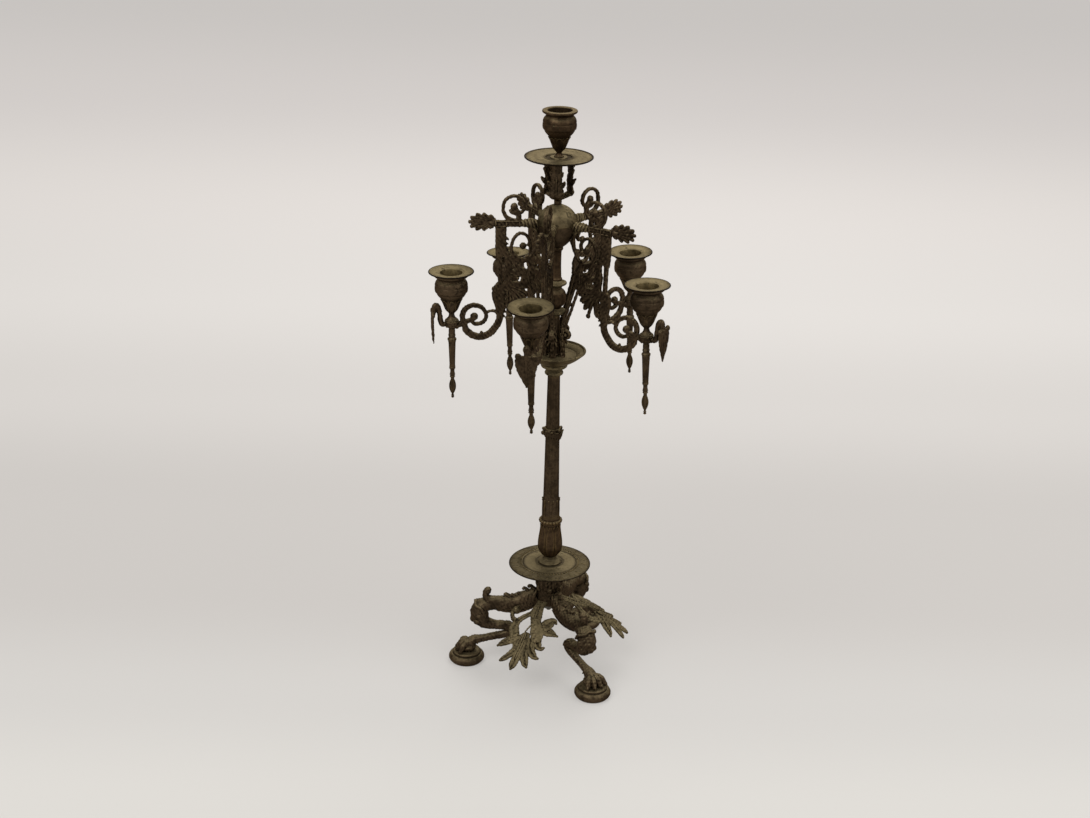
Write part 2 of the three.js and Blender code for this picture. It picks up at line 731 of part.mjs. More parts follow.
// Bulb in two castings, notched at the seam for the tongues of the arms
function notched(geometry) {
  const deep = tongue.half * 2 + seat * 2;
  const across = tongue.thick + seat * 2;
  const cutter = new THREE.BoxGeometry(bulb.radius, across, deep).translate(bulb.radius, 0, seam);
  const notches = armTurns.map((turn) => toSolid(cutter).rotate([0, 0, turn - 90]));
  return toGeometry(notches.reduce((body, notch) => body.subtract(notch), toSolid(geometry)));
}
function shell(outer, inner) {
  const points = [...outer, ...inner.slice().reverse(), outer[0]].map(([r, z]) => new THREE.Vector2(r, z));
  return new THREE.LatheGeometry(points, roundSides).rotateX(Math.PI / 2);
}
const bulbInner = bulb.radius - bulb.wall;
const cupOuter = [
  [rodBore, cupBottom],
  [bulb.foot, cupBottom],
  [bulb.radius * 0.58, cupBottom + bulb.cupHeight * 0.3],
  [bulb.radius * 0.88, cupBottom + bulb.cupHeight * 0.62],
  [bulb.radius, seam - bulb.wall],
  [bulb.radius, seam],
];
const cupInner = [
  [rodBore, cupBottom + bulb.wall * 1.6],
  [bulb.foot, cupBottom + bulb.wall * 1.6],
  [bulbInner * 0.86, cupBottom + bulb.cupHeight * 0.66],
  [bulbInner, seam],
];
add('bulb_cup', notched(shell(cupOuter, cupInner)), darkBronze);

const domeAngles = [0, 22, 44, 66];
const domeArc = (radius, height) =>
  domeAngles.map((angle) => {
    const [c, s] = polar(1, angle);
    return [radius * c, domeBottom + height * s];
  });
const neckLevel = domeBottom + bulb.domeHeight;
const domeOuter = domeArc(bulb.radius, bulb.domeHeight);
domeOuter.push([topShaft.radius + sink, neckLevel], [rodBore, neckLevel]);
const domeInner = domeArc(bulbInner, bulb.domeHeight - bulb.wall);
domeInner.push([rodBore, neckLevel - bulb.wall]);
add('bulb_dome', notched(shell(domeOuter, domeInner)), dustyBronze);

// Arms. Shares give how far out of the reach, how far down the drop, and half a strand's width
const armPoint = ([out, down]) => [out * arm.reach, -down * arm.drop];
function strand(shares, steps, thick = arm.thick) {
  const curve = new THREE.CatmullRomCurve3(
    shares.map(([out, down, half]) => new THREE.Vector3(...armPoint([out, down]), half * arm.strand)),
  );
  return strip(curve.getPoints(steps).map((point) => [point.x, point.y, point.z]), thick);
}
const dropShares = [
  [0.535, -0.02, 0.97],
  [0.535, 0.13, 0.95],
  [0.532, 0.24, 1],
  [0.51, 0.31, 1.27],
];
const rodShares = [
  [0.546, 0.29, 0.42],
  [0.541, 0.44, 0.38],
  [0.537, 0.6, 0.42],
];
const waveShares = [
  [0.465, 0.3, 0.6],
  [0.463, 0.38, 0.57],
  [0.48, 0.46, 0.42],
  [0.46, 0.545, 0.62],
  [0.49, 0.63, 0.8],
];
const acanthusShares = [
  [0.535, 0.56, 0.5],
  [0.55, 0.63, 1.05],
  [0.543, 0.72, 0.93],
  [0.538, 0.81, 0.77],
  [0.538, 0.87, 0.6],
];
const branchShares = [
  [0.79, 0.91, 0.35],
  [0.86, 0.935, 0.42],
  [0.925, 0.96, 0.46],
  [0.97, 0.99, 0.42],
];
const tendrilShares = [
  [0.68, 0.855, 0.22],
  [0.61, 0.83, 0.2],
  [0.55, 0.86, 0.3],
];
const eyeLeafShares = [
  [0.41, -0.15, 0.36],
  [0.372, -0.09, 0.46],
  [0.366, -0.01, 0.4],
];
const kneeShares = [
  [0.29, 0.3, 0.34],
  [0.245, 0.41, 0.6],
  [0.24, 0.44, 0.56],
  [0.238, 0.52, 0.6],
];
const footShares = [
  [0.094, 1.0, 0.58],
  [0.09, 1.08, 0.5],
  [0.088, 1.18, 0.42],
  [0.095, 1.3, 0.52],
];
const strutShares = [
  [0.237, 0.5],
  [0.1, 1.01],
];
const webShares = [
  [0.3, 0.43],
  [0.31, 0.51],
  [0.28, 0.6],
  [0.42, 0.62],
  [0.47, 0.56],
  [0.47, 0.33],
  [0.4, 0.31],
  [0.29, 0.345],
];
const webHoleShares = [
  [
    [0.36, 0.38],
    [0.42, 0.36],
    [0.44, 0.43],
    [0.38, 0.45],
  ],
  [
    [0.34, 0.5],
    [0.41, 0.49],
    [0.42, 0.55],
    [0.35, 0.56],
  ],
];
// Tips and notches of the half palmette: angle from level and share of the fan's reach
const fanShares = [
  [172, 0.62],
  [182, 1],
  [194, 0.84],
  [207, 1.06],
  [218, 0.84],
  [229, 1.12],
  [238, 0.88],
  [243, 1.3],
  [252, 1.28],
  [254, 0.86],
  [268, 1.12],
  [282, 0.7],
];
const fanRootShare = [0.47, 0.595];
// Spirals: angle, share of the ring's radius, half width of the strand
const upperKeys = [
  [-57, 1.23, 0.38],
  [0, 1, 0.32],
  [190, 1, 0.3],
  [320, 0.42, 0.42],
];
const innerKeys = [
  [118, 2, 0.4],
  [159, 1.36, 0.34],
  [200, 1.05, 0.32],
  [248, 1.21, 0.32],
  [380, 0.93, 0.32],
  [442, 1.16, 0.3],
  [540, 0.4, 0.3],
];
const sweepKeys = [
  [160, 1.05, 0.6],
  [213, 0.87, 0.6],
  [273, 1, 0.64],
  [322, 1, 0.6],
  [348, 0.9, 0.42],
];
const ringKeys = [
  [-32, 1, 0.4],
  [180, 1.03, 0.4],
  [216, 0.88, 0.36],
  [292, 0.5, 0.32],
];
const upperCentre = [0.413, -0.157];
const innerCentre = [0.325, 0.212];
const sweepCentre = [0.719, 0.913];
const ringCentre = [0.784, 0.888];

function scroll(centre, radius, keys, steps) {
  const scaled = keys.map(([angle, share, half]) => [angle, share * radius, half * arm.strand]);
  return strip(spiral(...armPoint(centre), scaled, steps), arm.thick);
}

function barSolids() {
  const root = bulb.radius + seat;
  const bar = strip(
    [
      [root, 0, arm.barHalf],
      [root + arm.huskHalf, 0, arm.huskHalf],
      [root + arm.huskHalf * 2.6, 0, arm.barHalf],
      [arm.corner + sink, 0, arm.barHalf],
      [arm.corner + arm.ribLong / 2, arm.barHalf / 2, arm.barHalf * 0.7],
      [arm.corner + arm.ribLong, arm.barHalf / 2, arm.barHalf * 0.3],
    ],
    arm.barThick,
  );
  return [bar];
}

// The tongue that the two halves of the bulb clamp
function tongueSolid() {
  const root = bulb.radius + seat;
  return strip([[root - tongue.long, 0, tongue.half], [root + sink * 2, 0, tongue.half]], tongue.thick);
}

// The room that the bulb takes, which trims whatever of an arm would run into it
function bulbRoom() {
  const outside = [...cupOuter.slice(1), ...domeOuter.slice(0, -1)];
  return toSolid(turned(outside.map(([r, z]) => [r + seat, z - seam]), discSides));
}

// The button in the middle of a scroll
function eyeSolid(centre) {
  const [x, z] = armPoint(centre);
  const button = new THREE.CylinderGeometry(arm.eye, arm.eye, arm.eyeThick, beadSides);
  return toSolid(button).translate([x, 0, z]);
}

function scrollSolids() {
  return [
    scroll(upperCentre, arm.upperRing, upperKeys, [1, 6, 2]),
    scroll(innerCentre, arm.innerRing, innerKeys, [1, 1, 1, 4, 1, 2]),
    scroll(sweepCentre, arm.sweep, sweepKeys, [2, 2, 2, 1]),
    scroll(ringCentre, arm.lowerRing, ringKeys, [6, 1, 1]),
    ...[upperCentre, innerCentre, ringCentre].map((centre) => eyeSolid(centre)),
  ];
}

function webSolid() {
  const corners = (shares) => shares.map((share) => new THREE.Vector2(...armPoint(share)));
  const shape = new THREE.Shape(corners(webShares));
  shape.holes = webHoleShares.map((hole) => new THREE.Path(corners(hole)));
  return plate(shape, arm.thick);
}

// Half palmette that spreads from the foot of the drop towards the shaft, with one long bead-ended lobe
function fanSolid() {
  const [rootX, rootZ] = armPoint(fanRootShare);
  const rim = fanShares.map(([angle, share]) => {
    const [dx, dz] = polar(arm.fanReach * share, angle);
    return new THREE.Vector2(rootX + dx, rootZ + dz);
  });
  return plate(new THREE.Shape([new THREE.Vector2(rootX, rootZ), ...rim]), arm.thick);
}

// Double strut down to a volute foot that stands on the dish
function strutSolids() {
  const [top, bottom] = strutShares.map((share) => new THREE.Vector2(...armPoint(share)));
  const along = (share, side) => top.clone().lerp(bottom, share).add(new THREE.Vector2(side, 0));
  const frame = (from, to, half) => {
    const sides = [-half, half].map((side) => [along(from, side), along(to, side)]);
    return [...sides[0], ...sides[1].reverse()];
  };
  const shape = new THREE.Shape(frame(0, 1, arm.strutSpread + arm.strutRod / 2));
  shape.holes = [new THREE.Path(frame(0.12, 0.9, arm.strutSpread - arm.strutRod / 2))];
  const [footX, footZ] = armPoint(footShares[0]);
  const volute = ball(arm.footVolute, footX + arm.footVolute * 0.85, footZ - arm.footVolute);
  return [strand(kneeShares, 2), plate(shape, arm.thick), strand(footShares, 3), volute];
}

// Palmette at the end of the bar: an oval narrowing to its root, edged with round lobes
const palmetteTaper = 0.88;
function palmetteSolid() {
  const points = [];
  const count = palmetteLobes * lobeSteps;
  for (let step = 0; step < count; step += 1) {
    const swell = arm.lobeDepth * Math.abs(Math.cos((Math.PI * step) / lobeSteps));
    const [c, s] = polar(1, (360 * step) / count);
    const half = (arm.palmetteHalf - arm.lobeDepth + swell) * (palmetteTaper + (1 - palmetteTaper) * c);
    points.push(new THREE.Vector2(c * (arm.palmette - arm.lobeDepth + swell), s * half));
  }
  const centre = arm.corner + arm.palmette - sink * 2;
  return plate(new THREE.Shape(points), arm.palmetteThick).translate([centre, 0, arm.barHalf / 2]);
}

function bowlSolid() {
  const bottom = -arm.drop;
  const body = toSolid(turned(
    [
      [arm.bowlFoot, bottom],
      [arm.bowlFoot * 1.4, bottom + arm.bowlHeight * 0.25],
      [arm.bowl * 0.88, bottom + arm.bowlHeight * 0.62],
      [arm.bowl, bottom + arm.bowlHeight],
    ],
    slimSides,
  ));
  return body.translate([arm.reach, 0, 0]);
}
const spigotBore = spigot.radius + running;
function boreAt(radius, from, to) {
  return toSolid(turned([[radius, from], [radius, to]], slimSides));
}

// Years of use have bent each arm: beyond its drop it sags and leans, more and more up to the bowl
function sagged(geometry, sag, lean) {
  const from = arm.corner;
  const c = Math.cos(radians(lean));
  const s = Math.sin(radians(lean));
  const position = geometry.attributes.position;
  for (let vertex = 0; vertex < position.count; vertex += 1) {
    const out = position.getX(vertex) - arm.reach;
    const up = position.getZ(vertex) + arm.drop;
    const run = (position.getX(vertex) - from) / (arm.reach - arm.bowl - from);
    const share = position.getZ(vertex) < -arm.drop / 3 ? THREE.MathUtils.clamp(run, 0, 1) : 0;
    const shift = [out * c + up * s - out, up * c - out * s - up - sag];
    position.setX(vertex, position.getX(vertex) + shift[0] * share);
    position.setZ(vertex, position.getZ(vertex) + shift[1] * share);
  }
  return geometry;
}
function armSolid() {
  const strands = [
    strand(dropShares, 3),
    strand(rodShares, 1),
    strand(waveShares, 5),
    strand(acanthusShares, 4, arm.barThick),
    strand(branchShares, 3),
    strand(tendrilShares, 2),
    strand(eyeLeafShares, 2),
  ];
  const whole = joined([
    ...barSolids(),
    ...strands,
    ...scrollSolids(),
    webSolid(),
    fanSolid(),
    ...strutSolids(),
    palmetteSolid(),
    bowlSolid(),
  ]);
  const floor = dishFloor + seat - seam;
  const block = toSolid(new THREE.BoxGeometry(arm.reach, arm.reach, arm.drop));
  const below = block.translate([arm.reach / 2, 0, floor - arm.drop / 2]);
  const under = below.intersect(block.translate([arm.fanReach - arm.reach / 2, 0, floor - arm.drop / 2]));
  const bore = boreAt(spigotBore, -arm.drop - overrun, -arm.drop + arm.bowlHeight + overrun);
  const trimmed = whole.subtract(under).subtract(bulbRoom());
  return trimmed.subtract(bore.translate([arm.reach, 0, 0])).add(tongueSolid());
}
const armBody = armSolid();
arms.forEach((name, place) => {
  const geometry = sagged(toGeometry(armBody), armSag[place], armLeans[place]);
  add(`arm_${name}`, geometry, darkBronze, spoke(armTurns[place])).position.z = seam;
});

// Gooseneck and hanging leaf outside each bowl
function hangLeafSolid() {
  const start = arm.bowl + seat;
  const far = hangLeaf.out;
  const low = -arm.drop + arm.bowlHeight * 0.5;
  const gap = far - start;
  const neck = limb(
    [
      [start, low, hangLeaf.tube * 0.9, hangLeaf.tube * 0.9],
      [start + gap * 0.26, low + hangLeaf.rise * 0.04, hangLeaf.tube * 1.1, hangLeaf.tube],
      [start + gap * 0.36, low + hangLeaf.rise * 0.5, hangLeaf.tube, hangLeaf.tube],
      [start + gap * 0.48, low + hangLeaf.rise * 0.8, hangLeaf.tube, hangLeaf.tube],
      [start + gap * 0.74, low + hangLeaf.rise * 0.86, hangLeaf.tube, hangLeaf.tube],
      [far, low + hangLeaf.rise * 0.4, hangLeaf.tube * 0.9, hangLeaf.tube],
    ],
    beadSides,
  );
  const top = low + hangLeaf.rise * 0.5;
  const at = (across, down, width, depth) => [
    new THREE.Vector3(far, across, top - down),
    new THREE.Vector3(0, width, 0),
    new THREE.Vector3(hangLeaf.thick * depth, 0, 0),
  ];
  const blade = lobe([
    at(0, 0, hangLeaf.half * 0.3, 1.4),
    at(0, hangLeaf.long * 0.24, hangLeaf.half * 0.8, 1.2),
    at(0, hangLeaf.long * 0.6, hangLeaf.half * 0.56, 1),
    at(0, hangLeaf.long, hangLeaf.half * 0.08, 0.5),
  ]);
  const shoulders = [-1, 1].flatMap((hand) => {
    const wing = lobe([
      at(0, hangLeaf.long * 0.06, hangLeaf.half * 0.2, 1.2),
      at(hangLeaf.half * 0.5 * hand, hangLeaf.long * 0.2, hangLeaf.half * 0.36, 1),
      at(hangLeaf.half * 0.82 * hand, hangLeaf.long * 0.34, hangLeaf.half * 0.2, 0.7),
    ]);
    return [wing];
  });
  const volutes = [-1, 1].map((hand) => {
    const across = hangLeaf.half * 0.52 * hand;
    return ball(hangLeaf.curl, far, top - hangLeaf.curl, across);
  });
  return joined([neck, blade, ...shoulders, ...volutes]);
}
const hangLeafGeometry = toGeometry(hangLeafSolid());

// Nozzle: a vase with a bored candle socket
function nozzleProfile(rimTop) {
  return [
    [nozzle.waist, rimTop - nozzle.waistDrop],
    [nozzle.cone, rimTop - nozzle.coneDrop],
    [nozzle.step, rimTop - nozzle.stepDrop],
    [nozzle.belly * 0.93, rimTop - (nozzle.stepDrop + nozzle.bellyDrop) / 2],
    [nozzle.belly, rimTop - nozzle.bellyDrop],
    [(nozzle.belly + nozzle.neck) / 2 + sink, rimTop - (nozzle.bellyDrop + nozzle.neckDrop) / 2],
    [nozzle.neck, rimTop - nozzle.neckDrop],
    [nozzle.rim, rimTop - nozzle.rimHeight],
    [nozzle.rim, rimTop],
  ];
}
function nozzleGeometry(rimTop, below) {
  return revolved([
    ...below,
    ...nozzleProfile(rimTop),
    [nozzle.bore, rimTop],
    [nozzle.bore, rimTop - nozzle.boreDepth],
    [0, rimTop - nozzle.boreDepth],
  ], nozzleSides);
}
const footBoreTop = spigot.rise - arm.bowlHeight + overrun;
const armNozzle = nozzleGeometry(nozzle.height, [
  [0, footBoreTop],
  [spigotBore, footBoreTop],
  [spigotBore, 0],
  [nozzle.foot, 0],
  [nozzle.foot, nozzle.footEdge],
  [nozzle.bell, nozzle.bellRise],
]);

// Drip pan: a flared flange over a short tube, with the candle hole through it
function panGeometry() {
  const outside = pan.hole + pan.wall;
  const points = [
    [pan.hole, -pan.tube],
    [outside, -pan.tube],
    [outside, seat],
    [pan.throat, seat],
    [pan.radius, pan.rise],
    [pan.radius - pan.lip / 4, pan.rise + pan.lip],
    [pan.throat, seat + pan.lip * 1.4],
    [pan.hole, seat + pan.lip * 0.8],
    [pan.hole, -pan.tube],
  ];
  return revolved(points, nozzleSides);
}

// Pendant under each bowl, with the spigot that holds bowl and nozzle
function pendantGeometry() {
  const at = (radius, down) => [radius, -down];
  const profile = [
    at(pendant.ball, pendant.drop - pendant.edge),
    at(pendant.point, pendant.pointDrop),
    at(pendant.bud, pendant.budDrop),
    at(pendant.tail * 0.58, pendant.beadDrop + pendant.edge * 3),
    at(pendant.bead, pendant.beadDrop),
    at(pendant.tail * 0.68, pendant.beadDrop - pendant.edge * 3),
    at(pendant.bead, pendant.tailDrop + pendant.edge),
    at(pendant.tail, pendant.tailDrop - pendant.edge / 2),
    at(pendant.head, pendant.headDrop),
    at(pendant.collar, pendant.collarDrop),
    at(pendant.neck, pendant.collarDrop - pendant.edge * 2),
    at(pendant.ringRadius, pendant.ringDrop),
    at(pendant.neck, pendant.ringDrop - pendant.edge),
    at(pendant.neck, 0),
    at(spigot.radius, 0),
    at(spigot.radius, -spigot.rise),
  ];
  return turned(profile, slimSides);
}

// The pieces on a bowl stand in a group at the foot of the bowl, which leans as the bowl does
arms.forEach((name, place) => {
  const group = new THREE.Group();
  group.position.set(arm.reach, 0, seam - armSag[place] - arm.drop);
  group.rotation.y = radians(armLeans[place]);
  spoke(armTurns[place]).add(group);
  const foot = arm.bowlHeight + seat;
  const hang = (piece, geometry, material, height) => {
    add(`${piece}_${name}`, geometry, material, group).position.z = height;
  };
  hang('arm_leaf', hangLeafGeometry, darkBronze, arm.drop);
  hang('nozzle', armNozzle, darkBronze, foot);
  hang('drip_pan', panGeometry(), paleBrass, foot + nozzle.height);
  hang('pendant', pendantGeometry(), darkBronze, -seat);
});

// Handled top shaft
function topShaftSolid() {
  const top = topShaft.height;
  const core = toSolid(turned(
    [
      [topShaft.radius, 0],
      [topShaft.radius, top - topShaft.headHeight * 2],
      [topShaft.head, top - topShaft.headHeight],
      [topShaft.head, top],
    ],
    slimSides * 2,
    rodBore,
  ));
  const handles = [];
  leafTurns.forEach((turn) => {
    const at = (out, up, width, depth) => [
      new THREE.Vector3(out, 0, up),
      new THREE.Vector3(0, handle.side * width, 0),
      new THREE.Vector3(handle.thick * depth, 0, 0),
    ];
    const out = handle.reach;
    const strap = lobe([
      at(out - handle.thick * 0.6, top - handle.top * 0.1, 0.62, 0.8),
      at(out - handle.thick * 0.6, top * 0.8, 0.7, 0.9),
      at(out - handle.thick * 0.9, top * 0.66, 0.95, 1.2),
      at(out - handle.thick * 0.9, top * 0.54, 0.9, 1.1),
      at(out - handle.thick * 0.4, top * 0.3, 1, 1.2),
      at(out + handle.thick * 0.2, handle.foot * 1.3, 0.95, 1.3),
    ]);
    const sole = (reach, up, width, depth) => [
      new THREE.Vector3(reach, 0, up),
      new THREE.Vector3(0, handle.side * width, 0),
      new THREE.Vector3(0, 0, -handle.thick * depth),
    ];
    const foot = lobe([
      sole(out + handle.thick * 1.2, handle.foot * 1.25, 0.9, 0.9),
      sole(out * 0.62, handle.foot * 0.86, 0.74, 1),
      sole(topShaft.radius * 0.86, handle.foot * 0.66, 0.4, 1.2),
    ]);
    const leaf = [-1, 1].map((hand) => {
      const side = (across, up, outward, width, depth) => [
        new THREE.Vector3(out + outward, across * hand, up),
        new THREE.Vector3(0, 0, width),
        new THREE.Vector3(handle.thick * depth * hand, 0, 0),
      ];
      return lobe([
        side(handle.side * 0.2, top * 0.5, -handle.thick * 0.8, handle.side * 0.4, 0.9),
        side(handle.side * 0.85, handle.leafRise, -handle.thick * 0.2, handle.side * 0.3, 0.8),
        side(handle.leafHalf, handle.leafRise + handle.thick, handle.leafOut, handle.side * 0.1, 0.4),
      ]);
    });
    const whole = joined([strap, foot, ...leaf]);
    handles.push(whole.rotate([0, 0, turn - 90]));
  });
  return joined([core, ...handles]);
}
add('top_shaft', toGeometry(topShaftSolid()), darkBronze).position.z = shaftBottom;

// Top dish with two low rings
const topRim = topDishBottom + topDish.height;
const topDishProfile = [
  [topDish.well, topDishBottom],
  [topDish.radius - topDish.thick, topRim - topDish.thick * 1.2],
  [topDish.radius, topRim - topDish.thick / 2],
  [topDish.radius - topDish.thick / 3, topRim],
  [topDish.well + topDish.bossRise, topDishBottom + topDish.thick + topDish.bossRise / 2],
  [topDish.well, topDishBottom + topDish.thick],
  [topDish.boss + topDish.bossRise, topDishBottom + topDish.thick],
  [topDish.boss, topDishFloor],
];
add('top_dish', turned(topDishProfile, discSides, topSpigot.radius + running), dustyBronze);

// Top nozzle on its thin foot, spigot down into the shaft
const topNozzle = nozzleGeometry(topFoot.drop + seat, [
  [0, -topSpigot.depth],
  [topSpigot.radius, -topSpigot.depth],
  [topSpigot.radius, seat],
  [topFoot.radius, seat],
  [topFoot.radius * 0.7, seat + topFoot.height],
]);
add('top_nozzle', topNozzle, warmBronze).position.z = topDishFloor;

// Tie rod with its washer and nut under the hub
const rodBottom = hubBottom - tieRod.tail;
const rodTop = topDishFloor - topSpigot.depth - seat * 4;
const rodProfile = [[tieRod.radius, rodBottom], [tieRod.radius, rodTop]];
add('tie_rod', turned(rodProfile, slimSides), plainSteel);
const washerTop = hubBottom - seat;
const washerBottom = washerTop - tieRod.washerThick;
const washerProfile = [[tieRod.washer, washerBottom], [tieRod.washer, washerTop]];
add('tie_washer', turned(washerProfile, slimSides * 2, rodBore), plainSteel);
const nutTop = washerBottom - seat;
const nutBore = rodBore / Math.cos(Math.PI / beadSides);
const nutProfile = [[tieRod.nut, nutTop - tieRod.nutHeight], [tieRod.nut, nutTop]];
add('tie_nut', turned(nutProfile, beadSides, nutBore), plainSteel);

// The origin lies on the floor, under the middle of the whole outline
candelabrum.updateMatrixWorld(true);
const middle = new THREE.Box3().setFromObject(candelabrum, true).getCenter(new THREE.Vector3());
candelabrum.position.set(-middle.x, -middle.y, 0);

export default candelabrum;
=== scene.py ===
"""A six-light candelabrum in patinated bronze, with clawed feet and openwork scroll arms.

Forms are worked out in millimetres, from the axis of the stem and from the floor.
They turn into metres, in the place that the frame gives, when a form becomes a mesh.
"""

import math

import bmesh
import bpy
import numpy as np
from bpy.props import FloatProperty, FloatVectorProperty, PointerProperty
from mathutils import Matrix, Vector


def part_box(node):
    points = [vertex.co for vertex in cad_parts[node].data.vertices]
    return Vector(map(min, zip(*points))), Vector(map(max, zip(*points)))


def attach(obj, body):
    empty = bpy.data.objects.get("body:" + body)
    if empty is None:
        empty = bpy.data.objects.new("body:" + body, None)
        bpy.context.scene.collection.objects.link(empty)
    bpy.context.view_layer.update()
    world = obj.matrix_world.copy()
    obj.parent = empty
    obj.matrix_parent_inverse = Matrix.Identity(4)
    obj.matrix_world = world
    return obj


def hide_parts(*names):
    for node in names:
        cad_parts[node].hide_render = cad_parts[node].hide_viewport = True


bl_info = {
    "name": "Bronze candelabrum", "version": (1, 0, 0), "blender": (4, 5, 0),
    "location": "View3D > Sidebar > Candelabrum",
    "description": "Builds a six-light candelabrum with clawed feet and openwork scroll arms",
    "category": "Add Mesh",
}

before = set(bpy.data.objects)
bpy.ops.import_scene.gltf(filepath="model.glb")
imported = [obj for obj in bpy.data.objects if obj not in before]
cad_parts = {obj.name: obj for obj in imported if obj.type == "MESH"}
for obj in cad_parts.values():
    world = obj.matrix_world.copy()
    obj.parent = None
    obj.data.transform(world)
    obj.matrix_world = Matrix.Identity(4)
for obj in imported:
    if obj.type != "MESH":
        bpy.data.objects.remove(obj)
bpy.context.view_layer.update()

MM = 0.001
CREASE = math.radians(38)
ARM_TURNS = {"left": -84.6, "front": -12.6, "right": 59.4, "back_right": 131.4, "back_left": -152.2}
LEG_TURNS = {"left": -87.1, "right": 32.9, "back": 152.9}
LEAF_TURNS = {"front": -27.1, "right": 92.9, "back": -147.1}
HANDLE_TURN = -8.0
HUB_REACH, PAD_REACH = 13.3, 90
# How far each bowl hangs below its level in millimetres, and how many degrees its top leans outward
BOWLS = {
    "left": (0, 0.7), "front": (1.9, 5.3), "right": (-4.5, -1.4), "back_right": (0, -2.3),
    "back_left": (12.2, 3.5),
}


def span(node):
    """The lowest and highest level of a node, in millimetres."""
    low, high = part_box(node)
    return low.z / MM, high.z / MM


def middle(node):
    """The middle of a node seen from above, in millimetres."""
    low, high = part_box(node)
    return np.array([(low.x + high.x) / 2, (low.y + high.y) / 2, 0]) / MM


AXIS = middle("stem")
SEAM = span("bulb_cup")[1]
SEAT_GAP = 0.3
DISH_FLOOR = span("shaft_socle")[0] - SEAT_GAP
PAD_TOP = span("foot_pad_left")[1]
HUB_LOW, HUB_HIGH = span("base_hub")


# Values and nodes


class Value:
    """An output socket that can be added to, scaled and raised like a number."""

    def __init__(self, maker, socket):
        self.maker = maker
        self.socket = socket

    def __add__(self, other):
        return self.maker.sum("ADD", self, other)

    def __sub__(self, other):
        return self.maker.sum("SUBTRACT", self, other)

    def __mul__(self, other):
        return self.maker.sum("MULTIPLY", self, other)

    def __truediv__(self, other):
        return self.maker.sum("DIVIDE", self, other)

    def __pow__(self, other):
        return self.maker.sum("POWER", self, other)

    def __mod__(self, other):
        return self.maker.sum("FLOORED_MODULO", self, other)

    def __rsub__(self, other):
        return self.maker.sum("SUBTRACT", other, self)

    __radd__ = __add__
    __rmul__ = __mul__


class Maker:
    """Adds nodes to one tree, for a material or for geometry."""

    def __init__(self, tree):
        self.tree = tree

    def node(self, kind, inputs=None, **settings):
        made = self.tree.nodes.new(kind)
        for name, setting in settings.items():
            setattr(made, name, setting)
        for name, value in (inputs or {}).items():
            socket = made.inputs[name]
            if isinstance(value, Value):
                self.tree.links.new(value.socket, socket)
            else:
                socket.default_value = value
        return made

    def value(self, kind, inputs=None, output=0, **settings):
        return Value(self, self.node(kind, inputs, **settings).outputs[output])

    def sum(self, operation, *terms):
        return self.value("ShaderNodeMath", dict(enumerate(terms)), operation=operation)

    def vector(self, operation, *terms):
        return self.value("ShaderNodeVectorMath", dict(enumerate(terms)), operation=operation)

    def scaled(self, vector, factor):
        return self.value("ShaderNodeVectorMath", {0: vector, "Scale": factor}, operation="SCALE")

    def parts(self, vector):
        split = self.node("ShaderNodeSeparateXYZ", {0: vector})
        return [Value(self, output) for output in split.outputs]

    def point(self, x, y, z):
        return self.value("ShaderNodeCombineXYZ", {0: x, 1: y, 2: z})

    def ramp(self, value, low, high):
        """0 below low, 1 above high and a smooth rise between them."""
        return self.value(
            "ShaderNodeMapRange", {"Value": value, "From Min": low, "From Max": high},
            interpolation_type="SMOOTHSTEP",
        )

    def blend(self, factor, one, other):
        """One colour going over into another."""
        return self.value("ShaderNodeMix", {0: factor, 6: one, 7: other}, 2, data_type="RGBA")


def fresh_maker(owner):
    """A maker for the emptied node tree of a material or of the world."""
    owner.use_nodes = True
    owner.node_tree.nodes.clear()
    return Maker(owner.node_tree)


def new_tree(name, *sockets):
    """A geometry tree with named inputs, its maker and a way to reach the inputs."""
    tree = bpy.data.node_groups.new(name, "GeometryNodeTree")
    tree.interface.new_socket("Geometry", in_out="INPUT", socket_type="NodeSocketGeometry")
    tree.interface.new_socket("Geometry", in_out="OUTPUT", socket_type="NodeSocketGeometry")
    for label, kind, default in sockets:
        socket = tree.interface.new_socket(label, in_out="INPUT", socket_type="NodeSocket" + kind)
        if default is not None:
            socket.default_value = default
    maker = Maker(tree)
    entry = maker.node("NodeGroupInput")
    given = {output.name: Value(maker, output) for output in entry.outputs if output.name}
    return tree, maker, given


def close_tree(maker, geometry, material):
    """The end that every tree has: real geometry with its material."""
    whole = maker.value("GeometryNodeRealizeInstances", {"Geometry": geometry})
    dressed = maker.value("GeometryNodeSetMaterial", {"Geometry": whole, "Material": material})
    maker.node("NodeGroupOutput", {"Geometry": dressed})


# Forms


class Form:
    """Points in millimetres and the faces between them."""

    def __init__(self, points=(), faces=()):
        self.points = np.asarray(points, float).reshape(-1, 3)
        self.faces = list(faces)

    def __add__(self, other):
        start = len(self.points)
        shifted = [tuple(index + start for index in face) for face in other.faces]
        return Form(np.vstack([self.points, other.points]), self.faces + shifted)

    def turned(self, degrees):
        c, s = heading(degrees)
        return Form(self.points @ np.array([[c, s, 0], [-s, c, 0], [0, 0, 1]]), self.faces)

    def spoke(self, degrees):
        """Turned so that +X points at this angle from the camera side."""
        return self.turned(degrees - 90)

    def moved(self, x=0, y=0, z=0):
        return Form(self.points + np.array([x, y, z]), self.faces)

    def leaned(self, degrees):
        """Leaned about the Y axis, so that what is up goes toward +X."""
        c, s = heading(degrees)
        return Form(self.points @ np.array([[c, 0, -s], [0, 1, 0], [s, 0, c]]), self.faces)


def together(forms):
    return sum(forms, Form())


def heading(degrees):
    """Cosine and sine of an angle in degrees."""
    return math.cos(math.radians(degrees)), math.sin(math.radians(degrees))


def in_plane(stations):
    """Stations in the plane of a leg or an arm, where Y is 0."""
    return [(x, 0, *rest) for x, *rest in stations]


